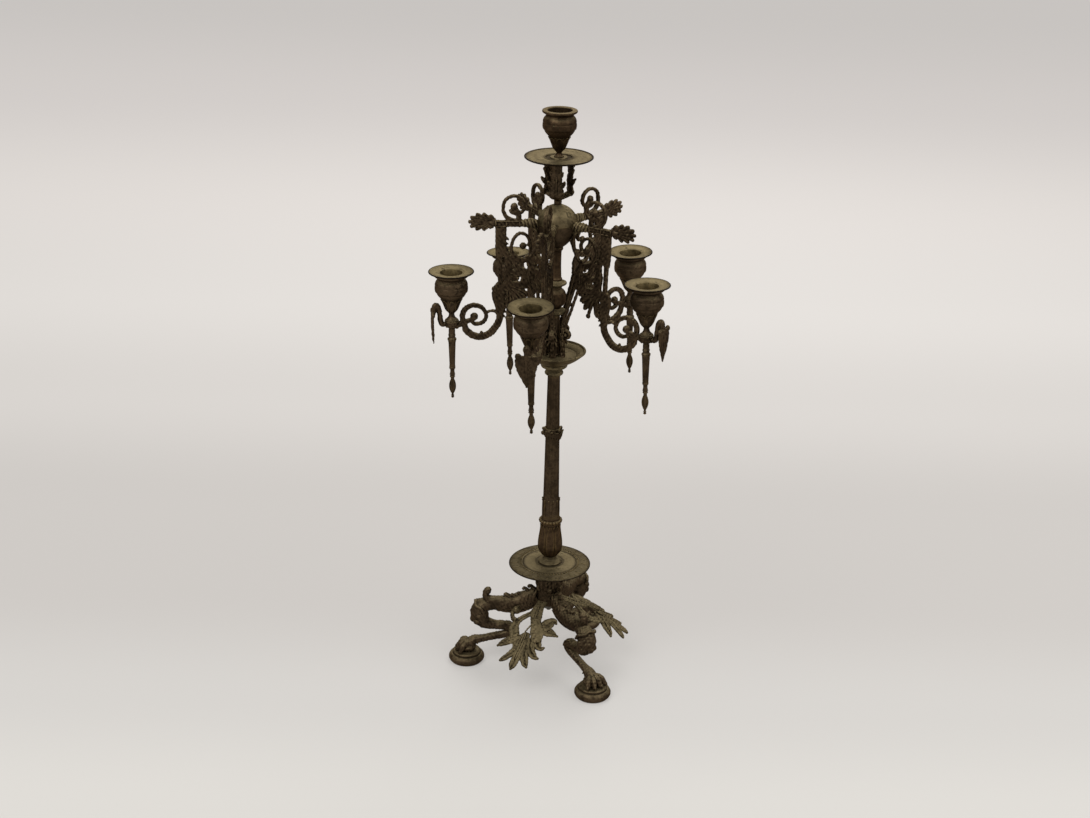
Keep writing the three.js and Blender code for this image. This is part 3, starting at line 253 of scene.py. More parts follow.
def unit(vectors):
    return vectors / np.maximum(np.linalg.norm(vectors, axis=-1, keepdims=True), 1e-9)


def curve(points, count):
    """Evenly counted points on a smooth line through the given ones."""
    p = np.asarray(points, float)
    p = np.vstack([2 * p[0] - p[1], p, 2 * p[-1] - p[-2]])
    place = np.linspace(0, len(p) - 3, count)
    start = np.minimum(place.astype(int), len(p) - 4)
    f = (place - start)[:, None]
    a, b, c, d = (p[start + step] for step in range(4))
    cubic = (2 * a - 5 * b + 4 * c - d) * f**2 + (3 * b - a - 3 * c + d) * f**3
    return 0.5 * (2 * b + (c - a) * f + cubic)


def loft(rings):
    """A skin through rings of equally many points, closed at both ends."""
    rings = np.asarray(rings, float)
    rows, sides = rings.shape[:2]
    faces = []
    for row in range(rows - 1):
        for side in range(sides):
            a, b = row * sides + side, row * sides + (side + 1) % sides
            faces.append((a, b, b + sides, a + sides))
    faces.append(tuple(range(sides - 1, -1, -1)))
    faces.append(tuple(range((rows - 1) * sides, rows * sides)))
    return Form(rings.reshape(-1, 3), faces)


def limb(stations, sides=16, steps=5, across=(0, 1, 0)):
    """An oval limb through stations of x, y, z, half depth and half width."""
    line = curve(stations, (len(stations) - 1) * steps + 1)
    path, half = line[:, :3], np.maximum(line[:, 3:5], 0.2)
    along = unit(np.gradient(path, axis=0))
    out = unit(np.cross(along, across))
    wide = np.cross(out, along)
    angle = np.linspace(0, 2 * math.pi, sides, endpoint=False)[None, :, None]
    ring = np.cos(angle) * (out * half[:, :1])[:, None] + np.sin(angle) * (wide * half[:, 1:])[:, None]
    return loft(path[:, None] + ring)


def blade(stations, up=(0, 0, 1), thick=2.0, groove=0.35, count=12):
    """A leaf lobe through stations of x, y, z and half width, gouged along its middle.

    Up points out of its face, and may be one direction or one for each station.
    """
    line = curve(stations, count)
    path, half = line[:, :3], np.maximum(line[:, 3], 0.25)
    ups = np.asarray(up, float)
    if ups.ndim == 2:
        ups = curve(ups, count)
    along = unit(np.gradient(path, axis=0))
    side = unit(np.cross(along, ups))
    face = np.cross(side, along)
    deep = thick * np.clip(half / (0.45 * half.max()), 0.4, 1)[:, None]
    over = [(-1, 0.1), (-0.8, 0.75), (-0.42, 1), (0, 1 - groove), (0.42, 1), (0.8, 0.75), (1, 0.1)]
    under = [(0.7, -0.7), (0, -1), (-0.7, -0.7)]
    ring = [path + side * half[:, None] * u + face * deep * v / 2 for u, v in over + under]
    return loft(np.stack(ring, axis=1))


def ball(centre, radius, sides=12, rows=7, squash=(1, 1, 1)):
    """A rounded knob."""
    rings = []
    for row in range(rows + 1):
        polar = math.pi * min(max(row / rows, 0.02), 0.98)
        around = np.linspace(0, 2 * math.pi, sides, endpoint=False)
        flat = np.stack([np.cos(around), np.sin(around), np.zeros(sides)], axis=1)
        rings.append(flat * math.sin(polar) + np.array([0, 0, -math.cos(polar)]))
    form = loft(np.stack(rings) * radius * np.array(squash))
    return form.moved(*centre)


def moulding(start, *runs, steps=5):
    """A section as radius and height; a run is radius, height and, if it isn't straight, its bulge."""
    points = [np.array(start, float)]
    for radius, height, *bulge in runs:
        begin, end = points[-1], np.array([radius, height], float)
        chord = end - begin
        out = np.array([chord[1], -chord[0]]) / max(np.hypot(*chord), 1e-9)
        count = steps if bulge else 1
        bulge = bulge[0] if bulge else 0
        for step in range(1, count + 1):
            share = step / count
            points.append(begin + chord * share + out * bulge * 4 * share * (1 - share))
    return points


# Geometry trees


def turning_tree():
    """A turned body from its section, with flutes between two levels."""
    tree, make, given = new_tree(
        "Fluted turning", ("Segments", "Int", 64), ("Flutes", "Int", 0), ("Flute Depth", "Float", 0.0),
        ("Flute From", "Float", 0.0), ("Flute To", "Float", 1.0), ("Run Out", "Float", 1.0),
        ("Material", "Material", None),
    )
    section = given["Geometry"]
    rows = make.value("GeometryNodeAttributeDomainSize", {"Geometry": section}, "Point Count")
    grid = make.value("GeometryNodeMeshGrid", {"Vertices X": given["Segments"] + 1, "Vertices Y": rows})
    index = make.value("GeometryNodeInputIndex")
    column = make.sum("FLOOR", index / rows)
    place = make.value("GeometryNodeInputPosition")
    sample = make.value(
        "GeometryNodeSampleIndex", {"Geometry": section, "Value": place, "Index": index % rows},
        data_type="FLOAT_VECTOR",
    )
    radius, _, height = make.parts(sample)
    angle = column / given["Segments"] * (2 * math.pi)
    wave = make.sum("ABSOLUTE", make.sum("COSINE", angle * given["Flutes"] / 2))
    rise = make.ramp(height, given["Flute From"], given["Flute From"] + given["Run Out"])
    fall = make.ramp(height, given["Flute To"] - given["Run Out"], given["Flute To"])
    cut = given["Flute Depth"] * wave * rise * (1 - fall)
    whole = make.sum("MAXIMUM", radius - cut, make.sum("MINIMUM", radius, given["Flute Depth"]))
    spot = make.point(whole * make.sum("COSINE", angle), whole * make.sum("SINE", angle), height)
    body = make.value("GeometryNodeSetPosition", {"Geometry": grid, "Position": spot})
    closed = make.value("GeometryNodeMergeByDistance", {"Geometry": body, "Distance": 0.005})
    close_tree(make, closed, given["Material"])
    return tree


def ring_tree():
    """Copies of one form round the axis."""
    tree, make, given = new_tree(
        "Ring of forms", ("Count", "Int", 12), ("First Angle", "Float", 0.0), ("Material", "Material", None),
    )
    points = make.value(
        "GeometryNodeMeshLine", {"Count": given["Count"], "Start Location": (0, 0, 0), "Offset": (0, 0, 0)},
    )
    index = make.value("GeometryNodeInputIndex")
    angle = given["First Angle"] + index / given["Count"] * (2 * math.pi)
    turn = make.value("FunctionNodeEulerToRotation", {"Euler": make.point(0, 0, angle)})
    copies = make.value(
        "GeometryNodeInstanceOnPoints", {"Points": points, "Instance": given["Geometry"], "Rotation": turn},
    )
    close_tree(make, copies, given["Material"])
    return tree


def strand_tree():
    """Flat scroll strands along lines in the plane of an arm, with a groove along both faces."""
    tree, make, given = new_tree(
        "Cast strands", ("Sides", "Int", 18), ("Groove", "Float", 0.2), ("Squareness", "Float", 0.6),
        ("Material", "Material", None),
    )
    line = make.value("GeometryNodeMeshToCurve", {"Mesh": given["Geometry"]})
    place = make.value("GeometryNodeInputPosition")
    heading = make.value("GeometryNodeInputTangent")
    for name, field in (("place", place), ("heading", heading)):
        line = make.value(
            "GeometryNodeStoreNamedAttribute", {"Geometry": line, "Name": name, "Value": field},
            data_type="FLOAT_VECTOR",
        )
    ring = make.value("GeometryNodeCurvePrimitiveCircle", {"Resolution": given["Sides"], "Radius": 1.0})
    angle = make.value("GeometryNodeInputIndex") / given["Sides"] * (2 * math.pi)
    ring = make.value(
        "GeometryNodeStoreNamedAttribute", {"Geometry": ring, "Name": "turn", "Value": angle},
        data_type="FLOAT",
    )
    body = make.value("GeometryNodeCurveToMesh", {"Curve": line, "Profile Curve": ring, "Fill Caps": True})

    def stored(name, kind):
        return make.value("GeometryNodeInputNamedAttribute", {"Name": name}, data_type=kind)

    def squared(wave):
        return make.sum("SIGN", wave) * make.sum("ABSOLUTE", wave) ** given["Squareness"]

    turn = stored("turn", "FLOAT")
    across = squared(make.sum("COSINE", turn))
    lift = squared(make.sum("SINE", turn))
    dip = 1 - given["Groove"] * (1 - make.ramp(make.sum("ABSOLUTE", across), 0.1, 0.55))
    normal = make.point(0, 1, 0)
    side = make.vector("CROSS_PRODUCT", stored("heading", "FLOAT_VECTOR"), normal)
    out = make.scaled(side, across * stored("half", "FLOAT"))
    proud = make.scaled(normal, lift * dip * stored("deep", "FLOAT"))
    spot = make.vector("ADD", make.vector("ADD", stored("place", "FLOAT_VECTOR"), out), proud)
    swept = make.value("GeometryNodeSetPosition", {"Geometry": body, "Position": spot})
    close_tree(make, swept, given["Material"])
    return tree


def edging_tree():
    """Leaf teeth along lines in the plane of an arm, pointing to the side of the line."""
    tree, make, given = new_tree(
        "Leaf edging", ("Tooth", "Object", None), ("Spacing", "Float", 4.0), ("Unevenness", "Float", 0.15),
        ("Seed", "Int", 4), ("Material", "Material", None),
    )
    line = make.value("GeometryNodeMeshToCurve", {"Mesh": given["Geometry"]})
    spaced = make.value(
        "GeometryNodeResampleCurve", {"Curve": line, "Length": given["Spacing"]}, mode="LENGTH",
    )
    tooth = make.value("GeometryNodeObjectInfo", {"Object": given["Tooth"]}, "Geometry")
    heading = make.value("GeometryNodeInputTangent")
    level = make.value("FunctionNodeAlignRotationToVector", {"Vector": heading}, axis="X")
    turn = make.value(
        "FunctionNodeAlignRotationToVector", {"Rotation": level, "Vector": (0.0, 1.0, 0.0)}, axis="Z",
        pivot_axis="X",
    )
    uneven = {2: 1 - given["Unevenness"], 3: 1 + given["Unevenness"], "Seed": given["Seed"]}
    size = make.value("FunctionNodeRandomValue", uneven, 1, data_type="FLOAT")
    copies = make.value(
        "GeometryNodeInstanceOnPoints",
        {"Points": spaced, "Instance": tooth, "Rotation": turn, "Scale": size},
    )
    close_tree(make, copies, given["Material"])
    return tree


TREES = {}


def tree_named(name):
    makers = {"turning": turning_tree, "ring": ring_tree, "strand": strand_tree, "edging": edging_tree}
    if name not in TREES:
        TREES[name] = makers[name]()
    return TREES[name]


# From forms to meshes


def plain_object(name, form, edges=(), scale=1.0):
    """A mesh object of a form, linked to the scene."""
    mesh = bpy.data.meshes.new(name)
    mesh.from_pydata((form.points * scale).tolist(), list(edges), form.faces)
    mesh.update()
    made = bpy.data.objects.new(name, mesh)
    bpy.context.scene.collection.objects.link(made)
    return made


def settle(made):
    """The evaluated mesh of an object, which then has no modifiers."""
    graph = bpy.context.evaluated_depsgraph_get()
    mesh = bpy.data.meshes.new_from_object(made.evaluated_get(graph))
    made.modifiers.clear()
    made.data = mesh
    return mesh


def read_form(mesh):
    points = np.zeros(len(mesh.vertices) * 3, np.float32)
    mesh.vertices.foreach_get("co", points)
    return Form(points.reshape(-1, 3), [tuple(face.vertices) for face in mesh.polygons])


def grown(tree_name, form, edges=(), attributes=None, **inputs):
    """The form that a geometry tree makes of another."""
    made = plain_object("growing", form, edges)
    for name, values in (attributes or {}).items():
        stored = made.data.attributes.new(name, "FLOAT", "POINT")
        stored.data.foreach_set("value", np.asarray(values, np.float32))
    tree = tree_named(tree_name)
    modifier = made.modifiers.new(tree_name, "NODES")
    modifier.node_group = tree
    for item in tree.interface.items_tree:
        key = item.name.replace(" ", "_").lower()
        if item.in_out == "INPUT" and key in inputs:
            modifier[item.identifier] = inputs[key]
    result = read_form(settle(made))
    bpy.data.objects.remove(made)
    return result


def turning(section, segments=64, **flutes):
    """A turned form; its section runs from the axis up the outside and back to the axis."""
    return grown("turning", Form(in_plane(section)), segments=segments, **flutes)


def ringed(form, count, first=0.0):
    """Copies of a form round the axis; first is in degrees from +X."""
    return grown("ring", form, count=count, first_angle=math.radians(first))


def chained(lines):
    """One form of many lines, with the edges along them."""
    points, edges, start = [], [], 0
    for line in lines:
        points.extend(line)
        edges.extend((start + step, start + step + 1) for step in range(len(line) - 1))
        start += len(line)
    return Form(points), edges


def strands(lines, deep, groove=0.22):
    """Scroll strands along lines of x, z and half width in the plane of an arm."""
    form, edges = chained([[(x, 0, z) for x, z, _ in line] for line in lines])
    halves = [half for line in lines for _, _, half in line]
    attributes = {"half": halves, "deep": np.full(len(halves), deep)}
    return grown("strand", form, edges, attributes, groove=groove)


def edged(lines, tooth, spacing, seed):
    """Leaf teeth along lines of x and z in the plane of an arm."""
    model = plain_object("tooth", tooth)
    form, edges = chained([in_plane(line) for line in lines])
    result = grown("edging", form, edges, tooth=model, spacing=spacing, seed=seed)
    bpy.data.objects.remove(model)
    return result


def cast(forms, grain, melt=1):
    """One closed skin round overlapping forms, softened and a little uneven as a casting is."""
    made = plain_object("casting", together(forms), scale=MM)
    coarse = 1
    skin = made.modifiers.new("skin", "REMESH")
    skin.mode = "VOXEL"
    skin.voxel_size = grain * coarse * MM
    soft = made.modifiers.new("soft", "SMOOTH")
    soft.factor = 0.5
    soft.iterations = melt
    result = read_form(settle(made))
    bpy.data.objects.remove(made)
    result.points = uneven(result.points / MM)
    return result


def uneven(points, depth=0.16):
    """Points moved a little by slow waves that cross each other."""
    waves = ((0.9, 1.3, 0.7), (-1.1, 0.6, 1.4), (0.5, -1.2, 1.1), (1.7, 0.4, -0.9))
    shift = np.zeros_like(points)
    for place, wave in enumerate(waves):
        for axis in range(3):
            shift[:, axis] += np.sin(points @ np.array(wave) + place * 1.7 + axis * 2.3)
    return points + shift * depth / 2


def cavity_shade_and_high_points(form, rounds=14, step=0.24, dark=0.85, pale=0.45):
    """Tint of a casting: painted shade, dark in its hollows, and a little paler on its high points."""
    ends = np.array([pair for face in form.faces for pair in zip(face, face[1:] + face[:1])])
    corners = np.array([(face[0], face[1], face[2], face[-1]) for face in form.faces])
    count = len(form.points)
    valence = np.maximum(np.bincount(ends[:, 0], minlength=count), 1)

    def spread(values):
        columns = values.reshape(count, -1)
        for _ in range(rounds):
            near = [np.bincount(ends[:, 0], column[ends[:, 1]], count) / valence for column in columns.T]
            columns = (columns + np.stack(near, 1)) / 2
        return columns

    a, b, c, d = (form.points[corners[:, place]] for place in range(4))
    facing = np.cross(c - a, d - b)
    normal = np.stack(
        [
            sum(np.bincount(corners[:, place], facing[:, axis], count) for place in range(4))
            for axis in range(3)
        ],
        1,
    )
    height = np.sum((form.points - spread(form.points)) * unit(normal), 1)
    rise = (height - spread(spread(height))[:, 0]) / step
    return np.where(rise < 0, np.maximum(rise, -1) * dark, np.minimum(rise, 1) * pale)


def face_out(mesh):
    """Merged points and faces that point outward."""
    work = bmesh.new()
    work.from_mesh(mesh)
    bmesh.ops.remove_doubles(work, verts=work.verts, dist=1e-7)
    bmesh.ops.recalc_face_normals(work, faces=work.faces)
    work.to_mesh(mesh)
    work.free()


def place_piece(name, form, node, finish, body="frame", centre=None, crease=CREASE, tint=None):
    """A finished piece in the place of a node, in the row frame and riding on its body.

    Tint says for each point how far its colour goes to the dark (below 0) or to the pale one.
    """
    form = form.moved(*(AXIS if centre is None else centre))
    made = plain_object(name, form, scale=MM)
    if tint is not None:
        stored = made.data.attributes.new("tint", "FLOAT", "POINT")
        stored.data.foreach_set("value", np.asarray(tint, np.float32))
    face_out(made.data)
    made.data.shade_smooth()
    if crease:
        made.data.set_sharp_from_angle(angle=crease)
    made.data.materials.append(FINISHES[finish])
    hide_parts(node)
    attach(made, body)
    return made


def rings_of(form, *bands):
    """Tint of a turned form by its distance from its axis; a band is inner and outer radius and its tint."""
    reach = np.hypot(form.points[:, 0], form.points[:, 1])
    tint = np.zeros(len(reach))
    for inner, outer, value in bands:
        tint[(reach >= inner) & (reach <= outer)] = value
    return tint


# Sections and ornament


def upright_leaf(stations, thick=1.6, groove=0.5, lean=(1, 0, 0), count=12):
    """A leaf that stands against a turned body, through stations of reach, height and half width."""
    return blade(in_plane(stations), lean, thick, groove, count)


# Piece, finish, sides and the runs of the section. Heights below 0 count down from the top of the node;
# the last run ends there and gives only its radius and, if it isn't straight, its bulge.
TURNED = {
    "foot_collar": (
        "collar", "dusty_bronze", 64,
        ((12.2, 0), (12.2, 2.2, 0.8), (10.4, 2.9), (9.7, 3.5), (6.6, -0.7, -0.9), (6.4,)),
    ),
    "stem_cap": (
        "cap", "dusty_bronze", 64,
        (
            (7.2, 0), (9, 0.6), (9, 4, 0.8), (7.6, 4.8), (7.6, 6.6, -0.4), (12.8, 8.8, -1), (13.4, 9.2),
            (13.3, 0.7),
        ),
    ),
    "shaft_socle": (
        "socle", "dark_bronze", 48, ((5.5, 0), (5.4, 1.6, 0.3), (4.8, 3), (4.7, -4, 0.3), (5, -3), (5,)),
    ),
    "shaft_ring": (
        "ring", "dusty_bronze", 64,
        ((6, 0), (9.6, 1.6, -0.4), (10.2, 2.2), (10.2, -2.2, 1), (9.6, -1.6), (6, -0.4)),
    ),
    "pear_knop": (
        "knop", "warm_bronze", 64,
        ((5.4, 0), (5.8, 1), (10.6, 12, 2), (6.6, -1.6, 1.4), (6, -1.2), (5.8, 0.2)),
    ),
    "collar_disc": (
        "round_collar", "dusty_bronze", 64,
        ((6.2, 0), (10.4, 3.2, -0.5), (10.6, 5.4, 0.6), (7.2, -0.8, -0.4), (6.2,)),
    ),
    "shaft_sleeve": (
        "sleeve", "warm_bronze", 48,
        ((5.8, 0), (5.8, 2, 0.4), (5.3, 3), (5, -4, -0.3), (5.6, -3.4), (6.1, -2.8), (6.1, 0.5)),
    ),
    "bulb_cup": ("cup", "dark_bronze", 96, ((6.2, 0), (20.2, -3, 2.6), (20.4, 0.1))),
}


def place_turned(node, *bands):
    """A plain turned piece from the table, with tint bands."""
    low, high = span(node)
    name, finish, sides, (*runs, (rim, *swell)) = TURNED[node]
    placed = [(radius, height + (high if height < 0 else low), *bulge) for radius, height, *bulge in runs]
    last = [(rim, high, *swell), (0, high)]
    form = turning(moulding((0, low), *placed, *last), sides)
    place_piece(name, form, node, finish, tint=rings_of(form, *bands) if bands else None)


def place_round(prefix, form, turns, node, finish, **settings):
    """Copies of one piece, each turned to its place round the axis."""
    for name, turn in turns.items():
        place_piece(f"{prefix}.{name}", form.spoke(turn), f"{node}_{name}", finish, **settings)


def place_on_bowls(prefix, form, node, finish, body=None, **settings):
    """The same piece over or under each bowl, on the frame or on bodies of its own."""
    for name in ARM_TURNS:
        settings["body"] = f"{body}_{name}" if body else "frame"
        place_piece(f"{prefix}.{name}", on_bowl(form, name), f"{node}_{name}", finish, **settings)


def foot_pad():
    section = moulding(
        (0, 0), (17.2, 0), (16.9, 9.2, 2.7), (15.5, 9.3), (15, 9.9), (14.4, PAD_TOP - 0.4, 0.7),
        (13.6, PAD_TOP, 0.1), (0, PAD_TOP),
    )
    return turning(section, 56)


def leg_body():
    hock, level = 41.5, 36
    shank, fall = PAD_REACH - hock, level - PAD_TOP
    return [
        (44, 69, 6, 5.6), (60, 69.4, 6.8, 6.8), (71, 68, 8, 9), (76, 61.6, 9.6, 10.2), (75, 54, 9.8, 10),
        (70.2, 47, 7.4, 8), (60.6, 43.6, 5.4, 5.6), (49.4, 42.6, 5.2, 5.4), (42, 40.2, 5.2, 5.2),
        (41, 35.6, 4.8, 4.8), (46, 32.2, 4.6, 4.5), (hock + shank * 0.34, level - fall * 0.28, 4.3, 4.2),
        (hock + shank * 0.66, level - fall * 0.42, 4.3, 4.4),
        (hock + shank * 0.84, level - fall * 0.5, 5.2, 6.4), (PAD_REACH, PAD_TOP + 4.9, 6.4, 8.8),
        (96.3, PAD_TOP + 2.6, 3.2, 8),
    ]


def toe(place):
    """One toe with its tendon, its knuckle and its claw."""
    base, spread, gap = 87.5, 27, 1.9
    parts = (
        (
            14,
            (
                (-3, 8.4, 2, 2), (3, 9.8, 3.2, 2.9), (7.8, 8.2, 3.6, 3.1), (10.8, 4.6, 3.1, 2.8),
                (13, 2.2, 2.2, 2.2), (14.4, 1, 1.2, 1.2),
            ),
        ),
        (10, ((11, 4.4, 1.5, 1.4), (14, 3.2, 1.2, 1.1), (15.6, 0.4, 0.4, 0.4))),
        (10, ((-13, 9.6, 0.8, 1), (-8, 11.4, 1.4, 1.2), (-3, 11.4, 1.7, 1.4), (4, 11, 1.7, 1.4))),
    )
    forms = []
    for sides, line in parts:
        forms.append(limb([(base + x, 0, PAD_TOP + z, deep, half) for x, z, deep, half in line], sides))
    return together(forms).moved(-base).turned(spread * place).moved(base, gap * place)


def leg():
    forms = [limb(in_plane(leg_body()), 24)]
    forms.append(ball((88.6, 0, PAD_TOP + 4.6), 1, 18, 9, (9.4, 10.4, 5.6)))
    forms += [toe(place) for place in (-1.5, -0.5, 0.5, 1.5)]
    # Acanthus sheath of the thigh, deep at the hub, with its tip curled up in front of the knee
    sheath = [
        (HUB_REACH, 79.6, 10.2, 6.6), (23, 75, 11, 7), (34, 70, 9.4, 7.3), (49, 70, 8.8, 7.4),
        (59, 71.4, 7.4, 7), (66, 75, 4.8, 6), (69.2, 79.6, 3.6, 5), (69.4, 84.4, 2.9, 4.2),
        (66.8, 87.6, 2.5, 3.7), (64.4, 85.4, 2, 3.2),
    ]
    forms.append(limb(in_plane(sheath), 24))
    forms.append(ball((67, 0, 85.2), 3.7, squash=(1, 1.25, 1)))
    # Crest: small tufts that lean outward
    for x, z, size in ((19, 91.4, 4), (25.4, 88.6, 3.2), (31.4, 82.8, 3), (38.4, 80.4, 3), (45.4, 81.2, 3.8)):
        tuft = [
            (x - 6, 0, z - 6, size * 0.8), (x - 1, 0, z - 1.6, size), (x + 3, 0, z + size * 0.2, size * 0.5),
        ]
        forms.append(blade(tuft, (-0.5, 0, 1), 3, 0.5))
        forms.append(ball((x + 2.6, 0, z - 0.4), size * 0.55, squash=(1, 1.2, 1)))
    # Feathered flanks: low ribs that slant from the crest to the hem, with a bare rib along the middle
    ribs = 13
    for step in range(ribs):
        x, share = 14 + 4.1 * step, step / (ribs - 1)
        top = float(np.interp(x, (14, 24, 35, 60, 68), (89, 85, 78, 77.6, 79)))
        low = float(np.interp(x + 6, (14, 24, 35, 50, 60, 70), (69.6, 64.4, 61.4, 62.6, 65.6, 72)))
        wide = 7.6 - 1.2 * share
        for hand in (-1, 1):
            vein = [
                (x - 2, hand * 2.2, top - 0.5, 0.9), (x + 1, hand * (wide - 2.1), top - 3.6, 1.6),
                (x + 3.4, hand * (wide - 0.7), (top + low) / 2, 1.8),
                (x + 5.6, hand * (wide - 2.3), low + 3, 1.5), (x + 6.6, hand * 2.6, low + 0.5, 0.9),
            ]
            forms.append(blade(vein, (0, hand, 0.15), 1.3, -0.4, 10))
    for hand in (-1, 1):
        hem = [
            (x, hand * 4, z, 1.5, 1.6)
            for x, z in ((15, 69.4), (24, 64), (35, 61.4), (50, 62.6), (60, 65.8), (68.4, 71))
        ]
        forms.append(limb(hem, 10))
    # Wavy collar round the knee and the rough bosses under it
    rim = []
    for degrees in range(-112, 113, 8):
        turn = math.radians(degrees)
        rim.append((9.8 * math.cos(turn), 11 * math.sin(turn), 0.9 * math.cos(5 * turn), 1.8, 1.6))
    forms.append(limb(rim, 10, 2, across=(0, 0, 1)).leaned(-36).moved(73, 0, 66))
    for angle, level, out, size in (
        (-66, 59.4, 8.8, 3.8), (-22, 59, 9, 4.4), (26, 60.4, 8.8, 4.2), (68, 57.6, 8.4, 3.8),
        (-46, 52, 9, 3.8), (4, 51.6, 9, 4), (50, 51, 8.6, 3.8),
    ):
        forms.append(ball((out, 0, level), size, squash=(1, 1.15, 1.05)).turned(angle).moved(73.6))
    # Tuft behind the hock
    for hand in (-1, 1):
        tuft = [(47, hand * 3, 45.6, 1.8), (41.5, hand * 4.4, 42, 2.6), (37.6, hand * 4, 36.6, 1)]
        forms.append(blade(tuft, (-0.3, hand, 0), 2.4, 0.4))
    return cast(forms, 0.5)


# Along the leaf and to its side, and half width: from the root of each lobe to its blunt point
LEAF_LOBES = (
    ((56, -6, 4), (61, -12, 5.6), (64, -18, 5), (66.4, -23, 3.2), (67.4, -26.4, 1.3)),
    ((58, -1, 4), (69, -2.5, 4.4), (76, -7.4, 4), (80, -12, 3), (82.2, -15.2, 1.3)),
    ((60, 2, 4), (72, 2, 4), (80, 1.6, 4.4), (85.4, 1, 3.8), (88, 0.6, 1.4)),
    ((60, 5, 4), (70, 7.2, 4.3), (77, 11.4, 4), (80.2, 14, 3), (81.6, 16, 1.3)),
    ((56, 8, 4), (64, 11.6, 4.2), (69.4, 16.8, 4), (70.6, 20.8, 2.9), (70.2, 23.8, 1.3)),
    ((48, 11, 4), (56.4, 15.6, 4.4), (60.4, 19.6, 3.7), (60.4, 22.6, 2.5), (58.6, 24.8, 1.2)),
    ((42, 13, 5), (43, 19.6, 6), (42.4, 25, 4.8), (41.8, 29, 2.8), (41.2, 31.8, 1)),
    ((44, 13, 5), (37.4, 16.6, 6.8), (32.4, 19, 6), (29.4, 21.6, 4), (30.4, 25, 1.6)),
)


def base_leaf():
    """Acanthus leaf on a slim stem, bent over a falling arch: gouged fingers, a pierced hole and a volute."""
    end, root, fall, arch, wide = 89, 77.0, 46.0, 6.0, 29

    def bent(along, across, lift=0.0):
        share = (along - HUB_REACH) / (end - HUB_REACH)
        rise = arch * (share * (1 - share) * 3 - (across / wide) ** 2)
        return (along, across, root - fall * share + rise + lift)

    forms = []
    for place, lobe in enumerate(LEAF_LOBES):
        stations = [(*bent(x, y, 0.25 * (-1) ** place), half * 1.14) for x, y, half in lobe]
        forms.append(blade(stations, (0.35, 0, 1), 3.8, 0.9, 16))
        x, y, _ = lobe[-1]
        forms.append(ball(bent(x, y), 1.5))
    # Palm, left strand and stem, then the raised leaf that ends in a round lip
    plates = (
        (((51, 2, 3), (57, 0.5, 8), (63, 1, 11), (69, 3, 9), (74, 4, 4)), -0.6, 2.4, 0.2),
        (
            ((26, -2, 2.6), (33, -8.6, 3.4), (39.4, -15, 4), (46, -17.4, 5.4), (52, -14.8, 6), (60, -9, 5)),
            0, 3, 0.7,
        ),
        (((HUB_REACH, -0.6, 6), (21, -0.4, 6), (28, 0, 7.2), (36, 3.4, 6.4), (44, 7, 5)), 0.4, 3.4, 0.5),
        (((37, 4, 3.2), (43, 7.4, 6), (49.6, 11.4, 7.6), (55, 14.6, 6.6), (58.6, 17, 3)), 1.9, 2.8, -0.5),
    )
    for line, lift, thick, groove in plates:
        forms.append(
            blade([(*bent(x, y, lift), half) for x, y, half in line], (0.35, 0, 1), thick, groove, 18)
        )
    veins = (
        ((22, -0.4, 0.9), (32, 1.4, 0.9), (42, 2.4, 0.8), (53, -0.6, 0.9), (64, -0.4, 0.8)),
        ((46, 6, 0.8), (52, 12.6, 0.8), (57, 16, 0.6)), ((54, 1, 0.8), (66, 2.4, 0.8), (80, 1.6, 0.6)),
        ((60, -7, 0.8), (64, -15, 0.7), (66.4, -21, 0.5)), ((56, 10, 0.8), (65, 13, 0.7), (69.4, 19, 0.5)),
    )
    for line in veins:
        forms.append(limb([(*bent(x, y, 2.3), 0.8, half) for x, y, half in line], 8, 4, across=(0, 0, 1)))
    curl = (
        (42, -17.4, 4), (39.4, -22.4, 3.6), (34.6, -26.6, 3.2), (29.4, -28.4, 3), (25.2, -26.2, 2.8),
        (25.4, -23, 2.6),
    )
    forms.append(limb([(*bent(x, y, 1), 2.4, half) for x, y, half in curl], 12, 4, across=(0, 0, 1)))
    forms.append(ball(bent(28.4, -24.4, 1.4), 4.4))
    return cast(forms, 0.5)


def base_hub():
    section = moulding(
        (0, HUB_LOW), (10, HUB_LOW), (13.4, HUB_LOW + 8, 1.5), (13.6, HUB_HIGH - 7), (15, HUB_HIGH - 3, 0.6),
        (15, HUB_HIGH, 0.3), (0, HUB_HIGH),
    )
    forms = [turning(section)]
    for turn in (*LEG_TURNS.values(), *LEAF_TURNS.values()):
        leaf = [(11.5, 0, 88, 3.2), (13.6, 0, 98, 5.2), (14.2, 0, 108, 4.6), (16.4, 0, 115, 1.8)]
        forms.append(blade(leaf, (1, 0, 0), 3.4, 0.5).spoke(turn))
        forms.append(ball((13, 0, 92), 3.4).spoke(turn + 30))
    return cast(forms, 0.62, melt=2)


def base_disc():
    low, high = span("base_disc")
    top = high - 1.4
    section = moulding(
        (0, low), (31.7, low), (42.1, low + 0.6), (44.2, low + 0.9, 0.3), (44, top - 1.4, 0.2),
        (43.2, top - 1), (42.6, top - 1.5), (34, top - 0.5, 0.2), (33.2, top), (30.2, top), (29.4, top - 0.5),
        (28.4, top), (16.5, top, -0.4), (15.6, top + 0.6), (14.2, top + 0.6), (0, top + 0.4),
    )
    tongue = [(34, top - 0.6, 2.6), (36.6, top - 0.7, 4.4), (39.8, top - 1, 4.2), (42.2, top - 1.5, 2.2)]
    leaves = ringed(upright_leaf(tongue, 1.2, 0.6, (0.16, 0, 1)), 22)
    rope = ringed(ball((0, 0, 0), 1.3, 10, 6, (1, 0.62, 1)).turned(28).moved(31.7, 0, high - 1.5), 66)
    return turning(section, 96) + leaves + rope


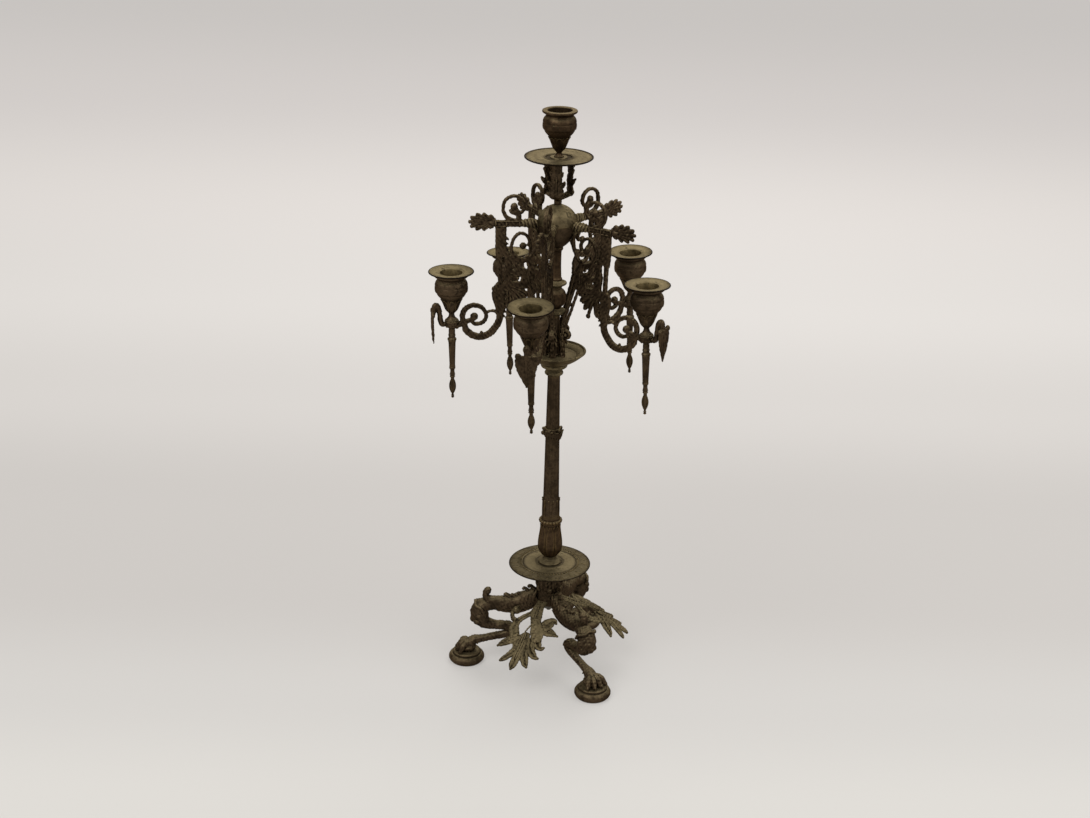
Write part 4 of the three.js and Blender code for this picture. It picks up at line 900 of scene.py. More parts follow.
def calyx():
    low = span("calyx")[0]
    section = moulding(
        (0, low), (6.2, low), (12.2, low + 14, 2.2), (9.8, low + 37, 0.8), (10.6, low + 38.6),
        (10.6, low + 43.2), (9.9, low + 44.4), (9.6, low + 47.2, 0.3), (0, low + 47.2),
    )
    tall = [
        (6.4, low + 0.4, 1.6), (10.6, low + 5, 3), (12.6, low + 12, 4.4), (12.4, low + 18, 4.6),
        (11.2, low + 27, 3.8), (10.4, low + 34, 2.4), (11, low + 38, 0.9),
    ]
    between = [
        (9.4, low + 3.6, 0.8), (12.1, low + 12, 1.3), (11.8, low + 22, 1.5), (10.4, low + 32, 1.9),
        (10.8, low + 38, 1.1),
    ]
    leaves = ringed(upright_leaf(tall, 1.3, 0.8), 8) + ringed(upright_leaf(between, 1.1, 0), 8, 22.5)
    return turning(section) + leaves + ringed(ball((10.7, 0, low + 42.4), 2.1), 20)


def stem():
    low, high = span("stem")
    section = [(0, low)] + [
        (9.1 - 2.4 * share, low + (high - low) * share)
        for share in np.linspace(0, 1, 34)
    ]
    section.append((0, high))
    shaft = turning(
        section, 96, flutes=12, flute_depth=0.75, flute_from=low + 21, flute_to=high - 3, run_out=4.0,
    )
    spear = [(9, low + 0.2, 1.3), (9.1, low + 9, 0.9), (8.9, low + 17, 0.7), (8.9, low + 19, 0.9)]
    spears = ringed(upright_leaf(spear, 1.4, 0), 12, 15) + ringed(ball((9.1, 0, low + 20), 1.15), 12, 15)
    return shaft + spears


def stem_clasp():
    """Uneven leaf collar: a knob on its left, larger tufts that hang lower on its right."""
    low, high = span("stem_clasp")
    forms = [turning(moulding((0, low + 2), (8.5, low + 2), (8.8, high - 1.6, 0.3), (0, high - 1)))]
    for step, (turn, drop, size) in enumerate((
        (-150, 0, 0.9), (-112, 0.6, 0.9), (-78, 2.4, 0.8), (-40, 1.2, 1), (-6, 0.6, 1), (28, -0.4, 1.1),
        (62, -1, 1.25), (98, -0.8, 1.2), (136, 0, 1), (172, 0.4, 0.9),
    )):
        tuft = [
            (8.3, low + 1.4 + drop, 1.6 * size), (9.3, low + 5 + drop, 2.9 * size),
            (9.8, low + 8.4 + drop, 2.5 * size), (9.8 + 1.8 * size, low + 9.8 + drop, 1),
        ]
        forms.append(upright_leaf(tuft, 2, 0.5).spoke(turn))
        if step % 2:
            forms.append(ball((9.6, 0, low + 10.6), 1.9).spoke(turn + 17))
    forms.append(ball((10, 0, low + 6.4), 2.5).spoke(-84))
    return cast(forms, 0.4)


def arm_dish():
    low, high = span("arm_dish")
    section = moulding(
        (0, low), (12.6, low), (31.8, high - 2.2, 1.4), (32.7, high - 1.6), (32.5, high - 0.2, 0.35),
        (31.4, high), (30.2, high - 1.6), (23, DISH_FLOOR + 0.2, 0.6), (10, DISH_FLOOR), (0, DISH_FLOOR),
    )
    return turning(section, 96)


def bulb_dome():
    low, high = span("bulb_dome")
    reach, rise = 20.4, 19.3
    arc = [(reach * math.cos(a), low + rise * math.sin(a)) for a in np.radians(np.linspace(0, 68, 16))]
    return turning([(0, low), *arc, (4.5, high), (0, high)], 96)


REACH, DROP = 106.5, 111.7
# Rim of a nozzle over the foot of its bowl, and radius of the bowl
RIM, BOWL_RADIUS = 59.0, 7.3
BAR_END = 62.6
STRAND = 6.0

ARM_LINES = {
    "drop": ((0.535, -0.02, 0.97), (0.535, 0.13, 0.95), (0.532, 0.24, 1), (0.51, 0.31, 1.27)),
    "rod": ((0.546, 0.29, 0.42), (0.541, 0.44, 0.38), (0.537, 0.6, 0.42)),
    "wave": (
        (0.465, 0.3, 0.6), (0.463, 0.38, 0.57), (0.48, 0.46, 0.42), (0.46, 0.545, 0.62), (0.49, 0.63, 0.8),
    ),
    "acanthus": (
        (0.535, 0.56, 0.5), (0.55, 0.63, 1.05), (0.543, 0.72, 0.93), (0.538, 0.81, 0.77), (0.538, 0.87, 0.6),
    ),
    "branch": ((0.79, 0.91, 0.35), (0.86, 0.935, 0.42), (0.925, 0.96, 0.46), (0.97, 0.99, 0.42)),
    "tendril": ((0.68, 0.855, 0.22), (0.61, 0.83, 0.2), (0.55, 0.86, 0.3)),
    "eye_leaf": ((0.41, -0.15, 0.36), (0.372, -0.09, 0.46), (0.366, -0.01, 0.4)),
    "knee": ((0.29, 0.3, 0.34), (0.245, 0.41, 0.6), (0.24, 0.44, 0.56), (0.238, 0.52, 0.6)),
    "foot": ((0.094, 1, 0.58), (0.09, 1.08, 0.5), (0.088, 1.18, 0.42), (0.095, 1.3, 0.52)),
}
# Centre, radius in millimetres, then angle, share of the radius and half width
ARM_SCROLLS = {
    "upper": (
        (0.413, -0.157), 10.9,
        (
            (-112, 1.5, 0.5), (-70, 1.28, 0.4), (-30, 1.1, 0.32), (0, 1, 0.29), (190, 1, 0.27),
            (320, 0.42, 0.36),
        ),
    ),
    "inner": (
        (0.325, 0.212), 12,
        (
            (118, 2, 0.36), (159, 1.36, 0.3), (200, 1.05, 0.28), (248, 1.21, 0.28), (380, 0.93, 0.28),
            (442, 1.16, 0.27), (540, 0.4, 0.28),
        ),
    ),
    "sweep": (
        (0.719, 0.913), 19.4,
        ((160, 1.05, 0.6), (213, 0.87, 0.62), (273, 1, 0.62), (322, 1, 0.6), (348, 0.9, 0.46)),
    ),
    "ring": (
        (0.784, 0.888), 12.1,
        (
            (-32, 1, 0.5), (20, 1, 0.48), (110, 1.02, 0.4), (180, 1.03, 0.33), (216, 0.88, 0.34),
            (292, 0.5, 0.34),
        ),
    ),
}
FAN_ROOT = (0.47, 0.595)
FAN_LOBES = ((182, 1), (207, 1.06), (229, 1.12), (268, 1.12))
FAN_REACH, LONG_LOBE = 22, 246


def arm_place(out, down):
    return out * REACH, -down * DROP


def arm_line(shares, steps=5):
    """A smooth strand line in millimetres from shares of the arm's reach and drop."""
    points = [(*arm_place(out, down), half * STRAND) for out, down, half in shares]
    return curve(points, (len(points) - 1) * steps + 1).tolist()


def scroll_line(centre, radius, keys):
    """Points of a spiral whose radius and width change from key to key."""
    x, z = arm_place(*centre)
    count = int(sum(abs(b[0] - a[0]) for a, b in zip(keys, keys[1:])) / 11)
    angles = np.linspace(keys[0][0], keys[-1][0], count)
    marks = [key[0] for key in keys]
    radii = np.interp(angles, marks, [key[1] * radius for key in keys])
    halves = np.interp(angles, marks, [key[2] * STRAND for key in keys])
    line = []
    for angle, reach, half in zip(angles, radii, halves):
        across, up = heading(angle)
        line.append((x + reach * across, z + reach * up, half))
    return line


def arm_bar():
    """The bar out to the palmette, with its edges and a twisted husk next to the bulb."""
    bar = [
        (18, 0, 0, 3.4, 2.6), (22, 0, 0, 3.8, 3.2), (33, 0, 0, 3.6, 3), (36, 0, 0, 3, 2.6),
        (54, 0, 0, 3, 2.4), (63, 0, 0, 3.2, 2.6), (68, 0, 1.4, 2.4, 2), (73, 0, 2, 1, 1.2),
    ]
    forms = [limb(bar, 16)]
    for side in (-1, 1):
        forms.append(limb([(x, 0, side * 2.5, 0.9, 3.1) for x in (34, 48, 63)], 10))
    for step, size in enumerate((4.8, 5.6, 5.8, 5.2, 4.6)):
        ridge = ball((0, 0, 0), size, 18, 10, (0.4, 0.92, 1.02))
        forms.append(ridge.leaned(24).moved(20.4 + 3.5 * step))
    for x, radius in ((38.2, 4.4), (51.5, 4.2), (62.5, 4.6)):
        forms.append(ball((x, 0, 0), radius, 14, 8, (0.3, 0.85, 1)))
    return together(forms)


def palmette():
    """Round lobes that spread from the end of the bar, each with a groove from the root."""
    centre, level, lobes = BAR_END + 13.2, 1.9, 11
    forms = [ball((centre, 0, level), 1, 20, 8, (11.6, 1.2, 6.4))]
    root = np.array([65.0, level])
    for step in range(lobes):
        angle = 2 * math.pi * step / lobes
        reach = 0.9 + 0.1 * math.cos(angle)
        tip = np.array([centre + 12.4 * math.cos(angle), level + 8.6 * reach * math.sin(angle)])
        path = [root + (tip - root) * share for share in (0.3, 0.66, 1)]
        # The two lobes next to the root are slim
        half = (1.1, 2.1, 2.1) if step not in (5, 6) else (1, 1.2, 1.2)
        stations = [(x, 0, z, width) for (x, z), width in zip(path, half)]
        forms.append(blade(stations, (0, 1, 0), 3.4, 0.6, 9))
        forms.append(ball((tip[0], 0, tip[1]), 2.1, 12, 7, (1, 0.85, 1)))
    for side in (-1, 1):
        forms.append(ball((66.4, 0, level + side * 4.6), 2.4, 12, 7, (1, 0.8, 1)))
    return together(forms)


def fan():
    """Half palmette from the foot of the drop, its lobes gouged and one of them long and bead-ended."""
    x, z = arm_place(*FAN_ROOT)
    forms = []
    for angle, share in (*FAN_LOBES, (LONG_LOBE, 1.3)):
        away = np.array(heading(angle))
        long = FAN_REACH * share
        half = 3.5 if angle != LONG_LOBE else 1.9
        bend = np.array([away[1], -away[0]]) * 1.6
        path = [away * long * out + bend * sway for out, sway in ((0, 0), (0.4, 1), (0.8, 0.6), (1, -0.4))]
        widths = (1.6, half * 0.8, half, half * 0.5)
        forms.append(blade([(x + p[0], 0, z + p[1], w) for p, w in zip(path, widths)], (0, 1, 0), 4.2, 0.5))
    tip = np.array(heading(LONG_LOBE)) * FAN_REACH * 1.26
    forms.append(ball((x + tip[0], 0, z + tip[1]), 2.6, squash=(1, 0.8, 1)))
    return together(forms)


def web():
    """Slim slanting strands that fill the space inside the drop."""
    lines = [
        ((0.3, 0.43, 0.4), (0.31, 0.51, 0.42), (0.28, 0.6, 0.5)),
        ((0.29, 0.345, 0.35), (0.34, 0.36, 0.4), (0.4, 0.33, 0.4), (0.47, 0.34, 0.4)),
        ((0.3, 0.44, 0.4), (0.36, 0.43, 0.45), (0.38, 0.41, 0.35), (0.42, 0.35, 0.3)),
        ((0.31, 0.49, 0.4), (0.38, 0.47, 0.5), (0.44, 0.45, 0.4), (0.47, 0.42, 0.3)),
        ((0.3, 0.58, 0.5), (0.36, 0.575, 0.5), (0.42, 0.57, 0.5), (0.46, 0.54, 0.5)),
        ((0.32, 0.5, 0.3), (0.33, 0.56, 0.3), (0.36, 0.6, 0.4)),
        ((0.47, 0.33, 0.3), (0.45, 0.42, 0.35), (0.45, 0.5, 0.35), (0.43, 0.56, 0.3)),
    ]
    return [arm_line(line) for line in lines]


def strut():
    """Double strut with a knob at its top, down to the scroll volute on the dish."""
    top, foot = arm_place(0.237, 0.5), arm_place(0.1, 1.01)
    lines = []
    for side in (-2.2, 2.2):
        ends = [top, (top[0] + side, top[1] - 6), (foot[0] + side, foot[1] + 6), foot]
        lines.append([(x, z, 1.25) for x, z in curve(ends, 16).tolist()])
    return lines


def strut_foot():
    """Leafy volute that stands on the dish under the strut."""
    x, z = arm_place(0.094, 1)
    forms = []
    spiral = [
        (x + 3.4 + r * math.cos(a), 0, z - 6 + r * math.sin(a), 1.5, 2.6)
        for r, a in zip(np.linspace(5.4, 1.2, 16), np.linspace(2.2, -5.2, 16))
    ]
    forms.append(limb(spiral, 12, 2))
    for hand in (-1, 1):
        for low, out, size in ((-16, 5, 2.6), (-10, 4.6, 2.4), (-3, 3.8, 2.2)):
            leaf = [
                (x - 1, hand, z + low + 7, size * 0.7), (x, hand * (out - 1.6), z + low + 3, size),
                (x + 1.6, hand * out, z + low - 1.4, size * 0.4),
            ]
            forms.append(blade(leaf, (0.2, hand, 0), 2.2, 0.5))
    forms.append(ball((x + 3.4, 0, z - 6), 2.6, squash=(1, 1.3, 1)))
    forms.append(
        limb([(x - 1.5, 0, z - 16, 2, 2.6), (x - 0.6, 0, z - 26, 2.2, 3), (x, 0, z - 33, 2.8, 5.4)], 12)
    )
    return together(forms)


def knobs(places, sides, rows, squash):
    """Rounded knobs on an arm, placed by shares of its reach and drop and sized by a radius."""
    forms = []
    for out, down, radius in places:
        x, z = arm_place(out, down)
        forms.append(ball((x, 0, z), radius, sides, rows, squash))
    return together(forms)


def arm_skin():
    """One scroll arm in its own plane, outward along X and measured from the seam of the bulb."""
    lines = [arm_line(shares) for shares in ARM_LINES.values()]
    lines += [scroll_line(*scroll) for scroll in ARM_SCROLLS.values()]
    lines += web() + strut()
    forms = [strands(lines, 2.2), arm_bar(), palmette(), fan(), strut_foot()]
    eyes = [(*ARM_SCROLLS[name][0], size) for name, size in (("upper", 3.9), ("inner", 3.7), ("ring", 4.2))]
    forms.append(knobs(eyes, 16, 8, (1, 0.8, 1)))
    tooth = blade([(0, 0, 0, 1.3), (1.2, 2, 0, 1.5), (2.6, 4, 0, 0.8)], (0, 0, 1), 3, 0.5, 7)
    inner_edge = [[(x - half * 0.7, z) for x, z, half in arm_line(ARM_LINES["drop"])[5:]]]
    inner_edge.append([(x - half * 0.6, z) for x, z, half in arm_line(ARM_LINES["acanthus"])[2:]])
    forms.append(edged(inner_edge, tooth, 4.6, 4))
    joints = ((0.168, 0.745, 1.9), (0.235, 0.515, 2.9), (0.715, 1.04, 1.5), (0.59, 1.02, 1.6))
    forms.append(knobs(joints, 14, 8, (1, 0.9, 1)))
    berries = ((0.3, 0.46), (0.38, 0.37), (0.44, 0.39), (0.37, 0.52), (0.43, 0.5), (0.34, 0.6), (0.4, 0.6))
    forms.append(knobs([(*place, 1.9) for place in berries], 12, 7, (1, 1.2, 1)))
    section = moulding(
        (0, 0), (3.3, 0), (3.6, 1.2, 0.3), (6.4, 4.6, 0.6), (BOWL_RADIUS, 7, 0.2), (BOWL_RADIUS, 8.8, 0.2),
        (0, 8.8),
    )
    forms.append(turning([(r, z - DROP) for r, z in section], 40).moved(REACH))
    # Boat under the bowl, which the gooseneck and the branch grow out of
    boat = [
        (REACH - 13, 5.6, 1.9, 2), (REACH - 7, 4.6, 2.9, 3.2), (REACH, 4.2, 3.8, 5.4),
        (REACH + 6, 4.4, 3, 3.6),
    ]
    forms.append(limb([(x, 0, z - DROP, deep, half) for x, z, deep, half in boat], 16))
    return cast(forms, 0.55)


def husk_highlight(skin):
    """Painted highlight on the twisted husk next to the bulb."""
    x, z = skin.points[:, 0], skin.points[:, 2]
    near_bulb = (np.abs(z) < 8) & (x > 17) & (x < 37)
    return np.where(near_bulb, 0.5, 0.0)


def bend_arm(skin, name):
    """The arm as it is bent: beyond its drop it sags and leans, more and more up to the bowl."""
    sag, lean = BOWLS[name]
    points = skin.points.copy()
    beyond = (points[:, 0] - BAR_END) / (REACH - BOWL_RADIUS - BAR_END)
    share = np.clip(beyond, 0, 1) * (points[:, 2] < -DROP / 3)
    placed = Form(points + np.array([-REACH, 0, DROP])).leaned(lean).moved(REACH, 0, -DROP - sag).points
    return Form(points + (placed - points) * share[:, None], skin.faces)


def on_bowl(form, name):
    """A form measured from the foot of a bowl, in its place on an arm."""
    sag, lean = BOWLS[name]
    return form.leaned(lean).moved(REACH, 0, SEAM - DROP - sag).spoke(ARM_TURNS[name])


def hang_leaf():
    """Plain pointed shield with ribs and two volutes, on its gooseneck; measured from the foot of a bowl."""
    low = 4.4
    neck = [
        (4.4, low + 1, 2.4), (8.6, low, 2.6), (11.2, low + 3, 2.9), (12.3, low + 12, 2.7),
        (14, low + 19.2, 2.9), (17.2, low + 20.4, 2.8), (19.2, low + 10, 2.4),
    ]
    forms = [limb([(x, 0, z, r, r) for x, z, r in neck], 14)]
    top = low + 12.2
    shield = [
        (19, top + 1.6, 8), (19.4, top - 3, 11.6), (19.5, top - 9, 11.6), (19.4, top - 17, 9),
        (19.1, top - 24, 5.4), (18.8, top - 30, 2.4), (18.7, top - 33, 0.7),
    ]
    forms.append(blade(in_plane(shield), (1, 0, 0.12), 2.6, 0.3, 22))
    rib = [(20.3, 0, top, 0.9, 1.3), (20.7, 0, top - 12, 0.8, 1.1), (19.9, 0, top - 30, 0.5, 0.6)]
    forms.append(limb(rib, 10))
    for hand in (-1, 1):
        for root, tip, out in ((-1, -13, 6.6), (-7, -20, 4.6)):
            side = [
                (20.1, hand, top + root, 0.7, 0.8), (20.4, hand * out, top + (root + tip) * 0.55, 0.7, 0.8),
                (19.8, hand * out * 0.8, top + tip, 0.5, 0.5),
            ]
            forms.append(limb(side, 8))
        forms.append(ball((19.4, hand * 8.2, top + 0.6), 3.2, squash=(0.75, 1, 1)))
    return cast(forms, 0.5)


def nozzle_section(foot):
    """The vase from its foot up to the rim, and down again inside the candle socket."""
    return foot + moulding(
        (2.8, -42.6), (3.4, -40.8, 0.2), (6.6, -36.6, -0.4), (10, -26.6, 0.5), (11.3, -25.8), (11.6, -25.2),
        (15.6, -19.4, 0.5), (16, -19), (16.7, -18.4), (16.9, -13, 0.3), (16.5, -12.2), (16.9, -11.4),
        (14.6, -6.4, 0.5), (14.2, -6), (13.9, -4.8, -0.2), (17, -2.4, -0.3), (17.5, -1.9), (17.5, -0.3, 0.15),
        (17, 0), (12.9, 0), (12.3, -0.6), (12.3, -20), (0, -20),
    )


def lotus():
    """Low leaves on the lower cone of a vase."""
    petal = [(3.2, -41.4, 0.9), (5.9, -38, 1.7), (7.9, -33, 2.8), (9.5, -29, 3), (11, -26.8, 1.4)]
    slim = [(5.4, -37.6, 0.7), (7.8, -33, 1.1), (9.5, -28.6, 1.4), (10.6, -26.6, 0.7)]
    return ringed(upright_leaf(petal, 1.1, 0.5), 8) + ringed(upright_leaf(slim, 0.9, 0), 8, 22.5)


def arm_nozzle():
    foot = moulding(
        (0, -49.9), (6.9, -49.9), (6.9, -49.3, 0.1), (5.2, -47.8, -0.2), (3.2, -45, -0.3), (2.8, -43.4),
        (2.8, -42.7),
    )
    return turning(nozzle_section(foot), 72) + lotus()


def top_nozzle():
    low, high = span("top_nozzle")
    rise = high - low
    foot = moulding(
        (0, -rise), (2.2, -rise), (2.2, 8 - rise), (5, 8.3 - rise), (4.9, 9 - rise, 0.1),
        (3, 10.8 - rise, -0.3), (2.7, -43.4),
    )
    return turning(nozzle_section(foot), 72) + lotus()


def drip_pan():
    """Nearly flat pan over its tube, with the candle hole through it; measured from the rim of the nozzle."""
    lip = moulding(
        (11.2, -14), (12, -14), (12, 0.3), (15, 0.4), (22.2, 1.5, -0.2), (23.2, 1.9), (23.2, 2.7, 0.2),
        (22.9, 3), (22.4, 3), (22.1, 2.7), (19, 2.3), (15, 1.9), (13.4, 1.7), (11.7, 1.3), (11.2, 0.5),
        (11.2, -14),
    )
    return turning(lip, 72)


def pendant():
    """Fluted drop with rings, a bud and a ball, under a bowl; measured down from it."""
    section = moulding(
        (0, 0), (3.2, 0), (3.2, -5.4, -0.2), (3.8, -6), (3.8, -7.2, 0.3), (3.2, -7.8), (3.3, -9.2, -0.2),
        (4.7, -10.7), (4.7, -11.9, 0.3), (4.1, -12.8),
    )[::-1]
    tail = [(4.1 - 1 * share ** 0.8, -13.4 - 27.2 * share) for share in np.linspace(0, 1, 16)]
    lower = moulding(
        (2.9, -41), (3.3, -41.6, 0.1), (3.3, -43, 0.2), (2.3, -44.4, -0.2), (2.2, -47), (2.9, -50.4),
        (2.9, -52.4, 0.5), (1.8, -54), (1.8, -56, -0.1), (3.1, -61.6, 0.5), (2.7, -66.4, 0.3),
        (1.1, -71.6, -0.3), (1.1, -72.6), (1.7, -73.4, 0.3), (1.7, -75.6, 0.4), (0.6, -76.5, 0.2), (0, -76.6),
    )
    upper = turning([(0, section[0][1]), *section], 48)
    fluted = turning(
        [(0, -41), *tail[::-1], (4.1, -12.8), (0, -12.8)], 64, flutes=8, flute_depth=0.6, flute_from=-40.6,
        flute_to=-13.8, run_out=1.6,
    )
    petal = [(1.8, -56.4, 0.7), (3, -61, 1.4), (3, -65.4, 1.2), (1.6, -70, 0.5)]
    bud = ringed(upright_leaf(petal, 0.9, 0.4), 6)
    return upper + fluted + turning([(0, -41), *lower], 48) + bud


def handle():
    """Thick wavy acanthus strap, outward along X, that curves in to the foot of the shaft."""
    strap = [
        (15.6, 45.3, 4), (15.6, 41.4, 4.6), (13.2, 36.6, 5.4), (13.6, 32.4, 5.4), (12.4, 28, 5.6),
        (12, 22, 6), (12.6, 16.6, 6.5), (13.4, 12.2, 6.4), (10.6, 9.6, 5.8), (6.4, 7.8, 4.8), (3, 6.2, 3.4),
    ]
    ups = [(1, 0, 0.1)] * 6 + [(1, 0, -0.1), (0.9, 0, -0.5), (0.3, 0, -1), (0.2, 0, -1), (0.4, 0, -1)]
    forms = [blade(in_plane(strap), ups, 4.2, 0.25, 36)]
    for hand in (-1, 1):
        for low, tip, out, lean in ((31, 36.4, 6.8, 0.8), (19.4, 27.4, 8.8, 2.6), (9.6, 15, 7.6, 0.4)):
            stations = [
                (12.6, hand * 2.4, low, 2.4), (13, hand * (out - 2.4), (low + tip) / 2, 2.8),
                (12.8 + lean, hand * out, tip, 0.9),
            ]
            forms.append(blade(stations, (1, 0, 0), 2.8, 0.5))
    forms.append(limb([(15.2, 0, z, 0.7, 0.9) for z in (14, 24, 32)], 8))
    return together(forms)


def top_shaft():
    section = moulding(
        (0, 0), (4, 0), (3.8, 3.4), (3.7, 5.4), (6, 11, 0.4), (5.4, 14), (3.8, 20, -0.2), (3.9, 40, -0.2),
        (5, 41.4), (7.1, 43.4, -0.3), (7.4, 44), (7.2, 45.8, 0.2), (0, 45.8),
    )
    low = span("top_shaft")[0]
    straps = [handle().spoke(HANDLE_TURN + 120 * place) for place in range(3)]
    return cast([turning(section, 40), *straps], 0.45).moved(z=low)


def top_dish():
    low, high = span("top_dish")
    floor = low + 1.6
    section = moulding(
        (0, low), (13.6, low), (33.2, high - 1.9, -0.3), (34.6, high - 1.1, 0.1), (34.7, high - 0.3, 0.1),
        (34.1, high), (33.4, high - 0.1), (32.8, high - 0.7), (24.6, floor + 1, 0.2),
        (14.8, floor + 0.5, 0.2), (14.4, floor + 0.9), (13.6, floor + 0.9), (13.2, floor), (9, floor),
        (8.5, floor + 1), (7.6, floor + 1), (0, floor + 0.9),
    )
    return turning(section, 96)


# Finishes

FINISHES = {}
SHADE = 0.38
# Body colour, colour of the dust and painted top light on upward faces, colour where edges are rubbed
SLOTS = {
    "dark_bronze": ("dark", "khaki", "rubbed"), "dusty_bronze": ("olive", "khaki", "rubbed"),
    "warm_bronze": ("warm", "khaki", "rubbed"), "pale_brass": ("brass", "khaki", "gilt"),
    "plain_steel": ("steel", "steel", "steel"),
}


def bronze_finish(name, body, dust, rubbed, colours):
    """Old cast metal: mottled patina, dust and painted top light facing up, painted shade in creases, rubbed
    edges, green specks.
    """
    material = bpy.data.materials.new(name)
    make = fresh_maker(material)
    place = make.value("ShaderNodeTexCoord", output=3)
    surface = make.node("ShaderNodeNewGeometry")
    _, _, upward = make.parts(Value(make, surface.outputs["Normal"]))
    edge = Value(make, surface.outputs["Pointiness"])
    tint = make.value("ShaderNodeAttribute", output=2, attribute_name="tint")

    def noise(scale, detail=4.0, rough=0.55, twist=0.0):
        inputs = {"Vector": place, "Scale": scale, "Detail": detail, "Roughness": rough, "Distortion": twist}
        return make.value("ShaderNodeTexNoise", inputs)

    broad = noise(24.0, 3.0, twist=0.4)
    mottle = noise(90.0, 5.0, 0.65)
    patch = noise(230.0, 4.0, 0.6, 0.3)
    grain = noise(620.0, 3.0)
    pits = make.value("ShaderNodeTexVoronoi", {"Vector": place, "Scale": 260.0})
    cloud = make.ramp(broad * 0.3 + mottle * 0.35 + patch * 0.35, 0.42, 0.58)
    colour = make.blend(cloud, colours.shade(body), colours.tone(body))
    # Where the tint is above 0 the colour goes toward the pale tone: painted top light, the painted husk
    # highlight and paler high points
    colour = make.blend(make.ramp(tint, 0.0, 1.0) * (0.35 + cloud * 0.65), colour, colours.tone(dust))
    # Dust and painted top light: faces that look up go toward the pale tone
    dust_and_top_light_mask = make.ramp(upward + (mottle - 0.5) * 1.4 + (patch - 0.5) * 0.6, 0.3, 1.05) * colours.dust
    colour = make.blend(dust_and_top_light_mask, colour, colours.tone(dust))
    stain = make.ramp(patch * 0.6 + mottle * 0.4, 0.54, 0.62) * 0.6
    colour = make.blend(stain, colour, colours.tone("deep"))
    # Painted shade in creases: where pointiness is low the colour goes toward the hollows colour
    painted_crease_shade = 1 - make.ramp(edge, 0.43, 0.505)
    colour = make.blend(painted_crease_shade * 0.85, colour, colours.tone("deep"))
    worn = make.ramp(edge + (grain - 0.5) * 0.06, 0.53, 0.62) * colours.wear * (0.4 + cloud * 0.6)
    colour = make.blend(worn, colour, colours.tone(rubbed))
    speck = (1 - make.ramp(pits, 0.05, 0.16)) * make.ramp(noise(48.0, 2.0), 0.52, 0.62) * colours.verdigris
    colour = make.blend(speck, colour, colours.tone("green"))
    # Where the tint is below 0 the colour goes toward the hollows colour: painted shade in the hollows of
    # castings and under pan rims, and darker bands
    colour = make.blend(make.ramp(0 - tint, 0.0, 1.0), colour, colours.tone("deep"))
    rough = 0.46 + dust_and_top_light_mask * 0.24 + painted_crease_shade * 0.14 + speck * 0.2 + (patch - 0.5) * 0.3 - worn * 0.1
    metal = 0.8 - dust_and_top_light_mask * 0.45 - speck * 0.5
    height = mottle * 0.4 + patch * 0.4 + grain * 0.25 - (1 - make.ramp(pits, 0.0, 0.12)) * 0.25
    bump = make.value("ShaderNodeBump", {"Strength": 0.5, "Distance": 0.0005, "Height": height})
    inputs = {
        "Base Color": colour, "Roughness": rough, "Metallic": metal, "Normal": bump,
        "Specular IOR Level": 0.2, "Specular Tint": (0.46, 0.4, 0.33, 1.0),
    }
    shader = make.value("ShaderNodeBsdfPrincipled", inputs)
    make.node("ShaderNodeOutputMaterial", {"Surface": shader})
    return material


# Settings


def tone_property(name, description, colour):
    return FloatVectorProperty(
        name=name, description=description, default=(*colour, 1.0), size=4, min=0.0, max=1.0, subtype="COLOR",
    )


def linear(red, green, blue):
    """A colour as it shows on screen, 0 to 255, as light."""
    values = [value / 255 for value in (red, green, blue)]
    return tuple(v / 12.92 if v <= 0.04045 else ((v + 0.055) / 1.055) ** 2.4 for v in values)


class CandelabrumColours(bpy.types.PropertyGroup):
    """Colours and ageing of the metal."""

    dark: tone_property("Dark bronze", "Colour of the arms, legs and stem", linear(78, 64, 48))
    olive: tone_property("Olive bronze", "Colour of discs, dishes and hanging leaves", linear(102, 90, 66))
    warm: tone_property("Warm bronze", "Colour of the calyx, knop and top nozzle", linear(76, 60, 43))
    brass: tone_property("Pale brass", "Colour of the drip pans", linear(116, 103, 74))
    steel: tone_property("Steel", "Colour of the tie rod, washer and nut", linear(112, 108, 100))
    # The pale tone, for dust, painted top light on upper faces and the painted highlight on the husk
    khaki: tone_property("Dust", "Colour of the dust on upward faces", linear(132, 119, 88))
    # Also the colour of painted shade in hollows and creases, and of the dark stains
    deep: tone_property("Hollows", "Colour in the hollows of the casting", linear(20, 13, 7))
    rubbed: tone_property("Rubbed edges", "Colour where raised edges are rubbed", linear(112, 93, 56))
    gilt: tone_property("Gilded edges", "Colour where old gilding is left", linear(132, 110, 62))
    green: tone_property("Verdigris", "Colour of the green specks", linear(108, 112, 80))
    # How far upward faces go toward the pale tone: dust and painted top light
    dust: FloatProperty(
        name="Dust", description="How much dust lies on upward faces", default=0.4, min=0, max=1,
    )
    wear: FloatProperty(name="Wear", description="How far the edges are rubbed", default=0.55, min=0, max=1)
    verdigris: FloatProperty(
        name="Verdigris", description="How strong the green specks are", default=0.4, min=0, max=1,
    )

    def tone(self, name):
        return tuple(getattr(self, name))

    def shade(self, name):
        """A darker version of a colour, for mottling."""
        return (*(channel * SHADE for channel in self.tone(name)[:3]), 1.0)


